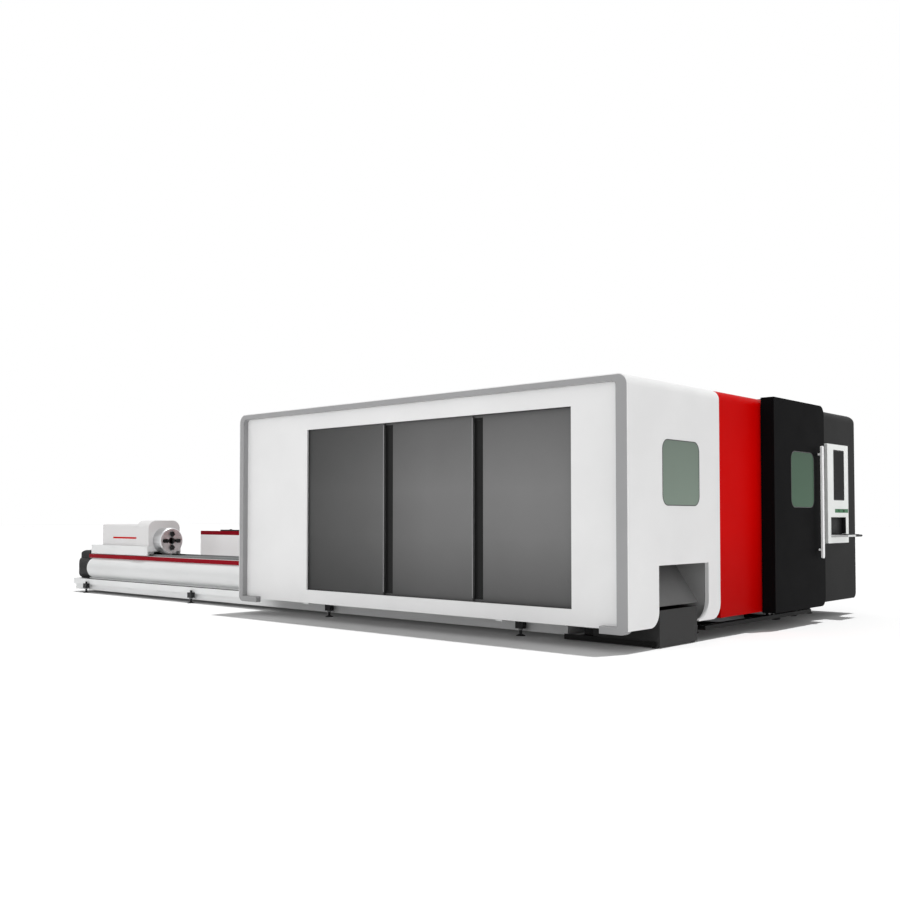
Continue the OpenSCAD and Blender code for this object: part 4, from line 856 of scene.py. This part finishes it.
def make_chuck_screws():
    """Cap screws in the chuck faces and in the stepped jaws."""
    for node, body in (("rear_chuck", "chuck"), ("front_chuck", "fixed_chuck")):
        axis = face_middle(node)
        ring = bmesh.new()
        for turn in FACE_SCREW_TURNS:
            add_face_screw(ring, axis + radial(turn, FACE_SCREW_AT), FACE_SCREW_R)
        piece(node + "_screws", ring, body, "chuck_steel")
    axis = face_middle("rear_chuck")
    for node, body, angle in JAWS:
        low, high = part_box(node)
        middle = (low + high) / 2
        reach = (Vector((axis.x, middle.y, middle.z)) - axis).length
        length = max(high.z - low.z, high.y - low.y)
        screws = bmesh.new()
        for share, back in JAW_SCREWS:
            place = axis + radial(angle, reach + share * length)
            place.x = high.x - back
            add_face_screw(screws, place, JAW_SCREW_R)
        piece(node + "_screws", screws, body, "jaw_steel")


# Feet of the tube bed, as part.scad has them, and their nuts
FEET = 4
FOOT_LEFT = 0.45
FOOT_RIGHT = 0.514
FOOT_OUT = 0.03
LUG_FOOT = 0.03
NUT_HALF = 0.021
NUT_H = 0.016
NUT_CHAMFER = 0.92
NUT_LIP = 0.12 * NUT_H
BASE_HALF = 0.38
TUBE_Y = HOOD_LO.y + 0.88


def make_foot_nuts():
    """Lock nuts round the stems under the side lugs of the tube bed, their rims chamfered."""
    low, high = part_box("tube_bed")
    pitch = (high.x - low.x - FOOT_LEFT - FOOT_RIGHT) / (FEET - 1)
    rings = [(NUT_HALF * NUT_CHAMFER, 0.0, False), (NUT_HALF, NUT_LIP, True),
             (NUT_HALF, NUT_H - NUT_LIP, True), (NUT_HALF * NUT_CHAMFER, NUT_H, False)]
    nuts = bmesh.new()
    for i in range(FEET):
        for side in (-1, 1):
            x = low.x + FOOT_LEFT + i * pitch
            y = TUBE_Y + side * (BASE_HALF + FOOT_OUT)
            add_turned(nuts, rings, Matrix.Translation((x, y, low.z + LUG_FOOT - NUT_H)))
    piece("foot_nuts", nuts, "machine", "rail_steel")


# Painted shade: dark strips that stand for the shaded gap under the side covers
SHADE_STRIP_IN = 0.006
SHADE_STRIP_W = 0.005
SHADE_STRIP_H = 0.009
SHADE_STRIP_STEPS = 6


def make_cover_shade_strips():
    """Dark strips of painted shade on the base beam, along the foot of the bed's side covers, where the
    gap under them lies in shade.
    """
    low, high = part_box("bed_side_covers")
    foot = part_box("bed_end_cap")[0].z
    r = SHADE_STRIP_W / 2
    shade_strips = bmesh.new()
    for side in (-1, 1):
        y = TUBE_Y + side * (BASE_HALF - SHADE_STRIP_IN - r)
        crown = [(y + r * math.cos(a), foot + SHADE_STRIP_H - r + r * math.sin(a))
                 for a in half_turn(SHADE_STRIP_STEPS)]
        outline = [(y + r, foot - SINK)] + crown + [(y - r, foot - SINK)]
        add_swept(shade_strips, outline, low.x, high.x, lambda a, b, x: (x, a, b))
    piece("bed_cover_painted_shade", shade_strips, "machine", "dark_plastic")


# Service doors and their air slots, as part.scad has them, and the hoods
SERVICE_W = 0.9
SERVICE_GAP = 0.004
LOUVRE_EDGE = 0.12
LOUVRE_COUNT = 8
LOUVRE_PITCH = 0.036
LOUVRE_SHARE = 0.6
LOUVRE_OUT = 0.011
LOUVRE_OVER = 0.006
LOUVRE_T = 0.0016
LOUVRE_STEPS = 6


def louvre_profile():
    """Hood section of (out, up): a lip that leans out from over the slot and hangs in front of it."""
    top = LOUVRE_PITCH / 2 + LOUVRE_OVER
    turns = [math.pi / 2 * i / LOUVRE_STEPS for i in range(LOUVRE_STEPS + 1)]
    outer = [(LOUVRE_OUT * math.sin(a), top - top * (1 - math.cos(a))) for a in turns]
    inner = [(a - LOUVRE_T if a > LOUVRE_T else -SINK, b - LOUVRE_T) for a, b in reversed(outer)]
    return [(-SINK, top)] + outer + inner


def make_louvres():
    """Pressed hoods over the air slots of the service doors."""
    middle = (HOOD_LO.x + HOOD_HI.x) / 2
    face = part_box("utility_cabinet")[1].y
    field = LOUVRE_COUNT * LOUVRE_PITCH
    for node, body, side in (("service_door_left", "service_left", -1),
                             ("service_door_right", "service_right", 1)):
        low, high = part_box(node)
        x_in, x_out = middle + side * SERVICE_GAP / 2, middle + side * (SERVICE_W - SERVICE_GAP)
        centre, half = (x_in + x_out) / 2, abs(x_out - x_in) * LOUVRE_SHARE / 2 + LOUVRE_OVER
        hoods = bmesh.new()
        for z0 in (low.z + LOUVRE_EDGE, high.z - LOUVRE_EDGE - field):
            for i in range(LOUVRE_COUNT):
                z = z0 + i * LOUVRE_PITCH
                add_swept(hoods, louvre_profile(), centre - half, centre + half,
                          lambda a, b, x, z=z: (x, face + a, z + b))
        piece(node + "_louvres", hoods, body, "cabinet_paint")


RIM_W = 0.009
RIM_H = 0.006
RIM_IN = 0.003
RIM_CORNER = 0.004


def make_bin_rim():
    """Rolled rim on the edge of the parts bin."""
    low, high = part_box("parts_bin")
    path = rounded_path((low.x + RIM_IN, low.y + RIM_IN), (high.x - RIM_IN, high.y - RIM_IN),
                        RIM_CORNER)
    ring = bmesh.new()
    add_frame(ring, path, bead(RIM_W, RIM_H), lambda u, v, w: (u, v, high.z + w))
    piece("parts_bin_rim", ring, "bin", "bin_paint")


NOZZLE_BACK = 0.05

# Rings of the nozzle's tip and nut: radius, height, hexagonal
NOZZLE_RINGS = ((0.004, -0.001, False), (0.0075, 0.002, False), (0.019, 0.008, True),
                (0.019, 0.02, True), (0.02, 0.024, False), (0.02, 0.03, False))


def make_nozzle_tip():
    """Bright nut and tip at the end of the cutting nozzle."""
    low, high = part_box("cutting_head")
    centre = Vector((high.x - NOZZLE_BACK, (low.y + high.y) / 2, low.z))
    tip = bmesh.new()
    add_turned(tip, NOZZLE_RINGS, Matrix.Translation(centre))
    piece("nozzle_nut", tip, "head", "chuck_steel")


make_camera()
make_world()
make_lights()
make_floor()
dress_nodes()
make_gaskets()
make_leaf_edges()
make_leaf_posts()
make_screen_bezel()
make_bay_liner()
make_tray_nose()
make_chuck_screws()
make_foot_nuts()
make_cover_shade_strips()
make_louvres()
make_bin_rim()
make_nozzle_tip()


# Finish: view transform

bpy.context.scene.view_settings.view_transform = "Standard"
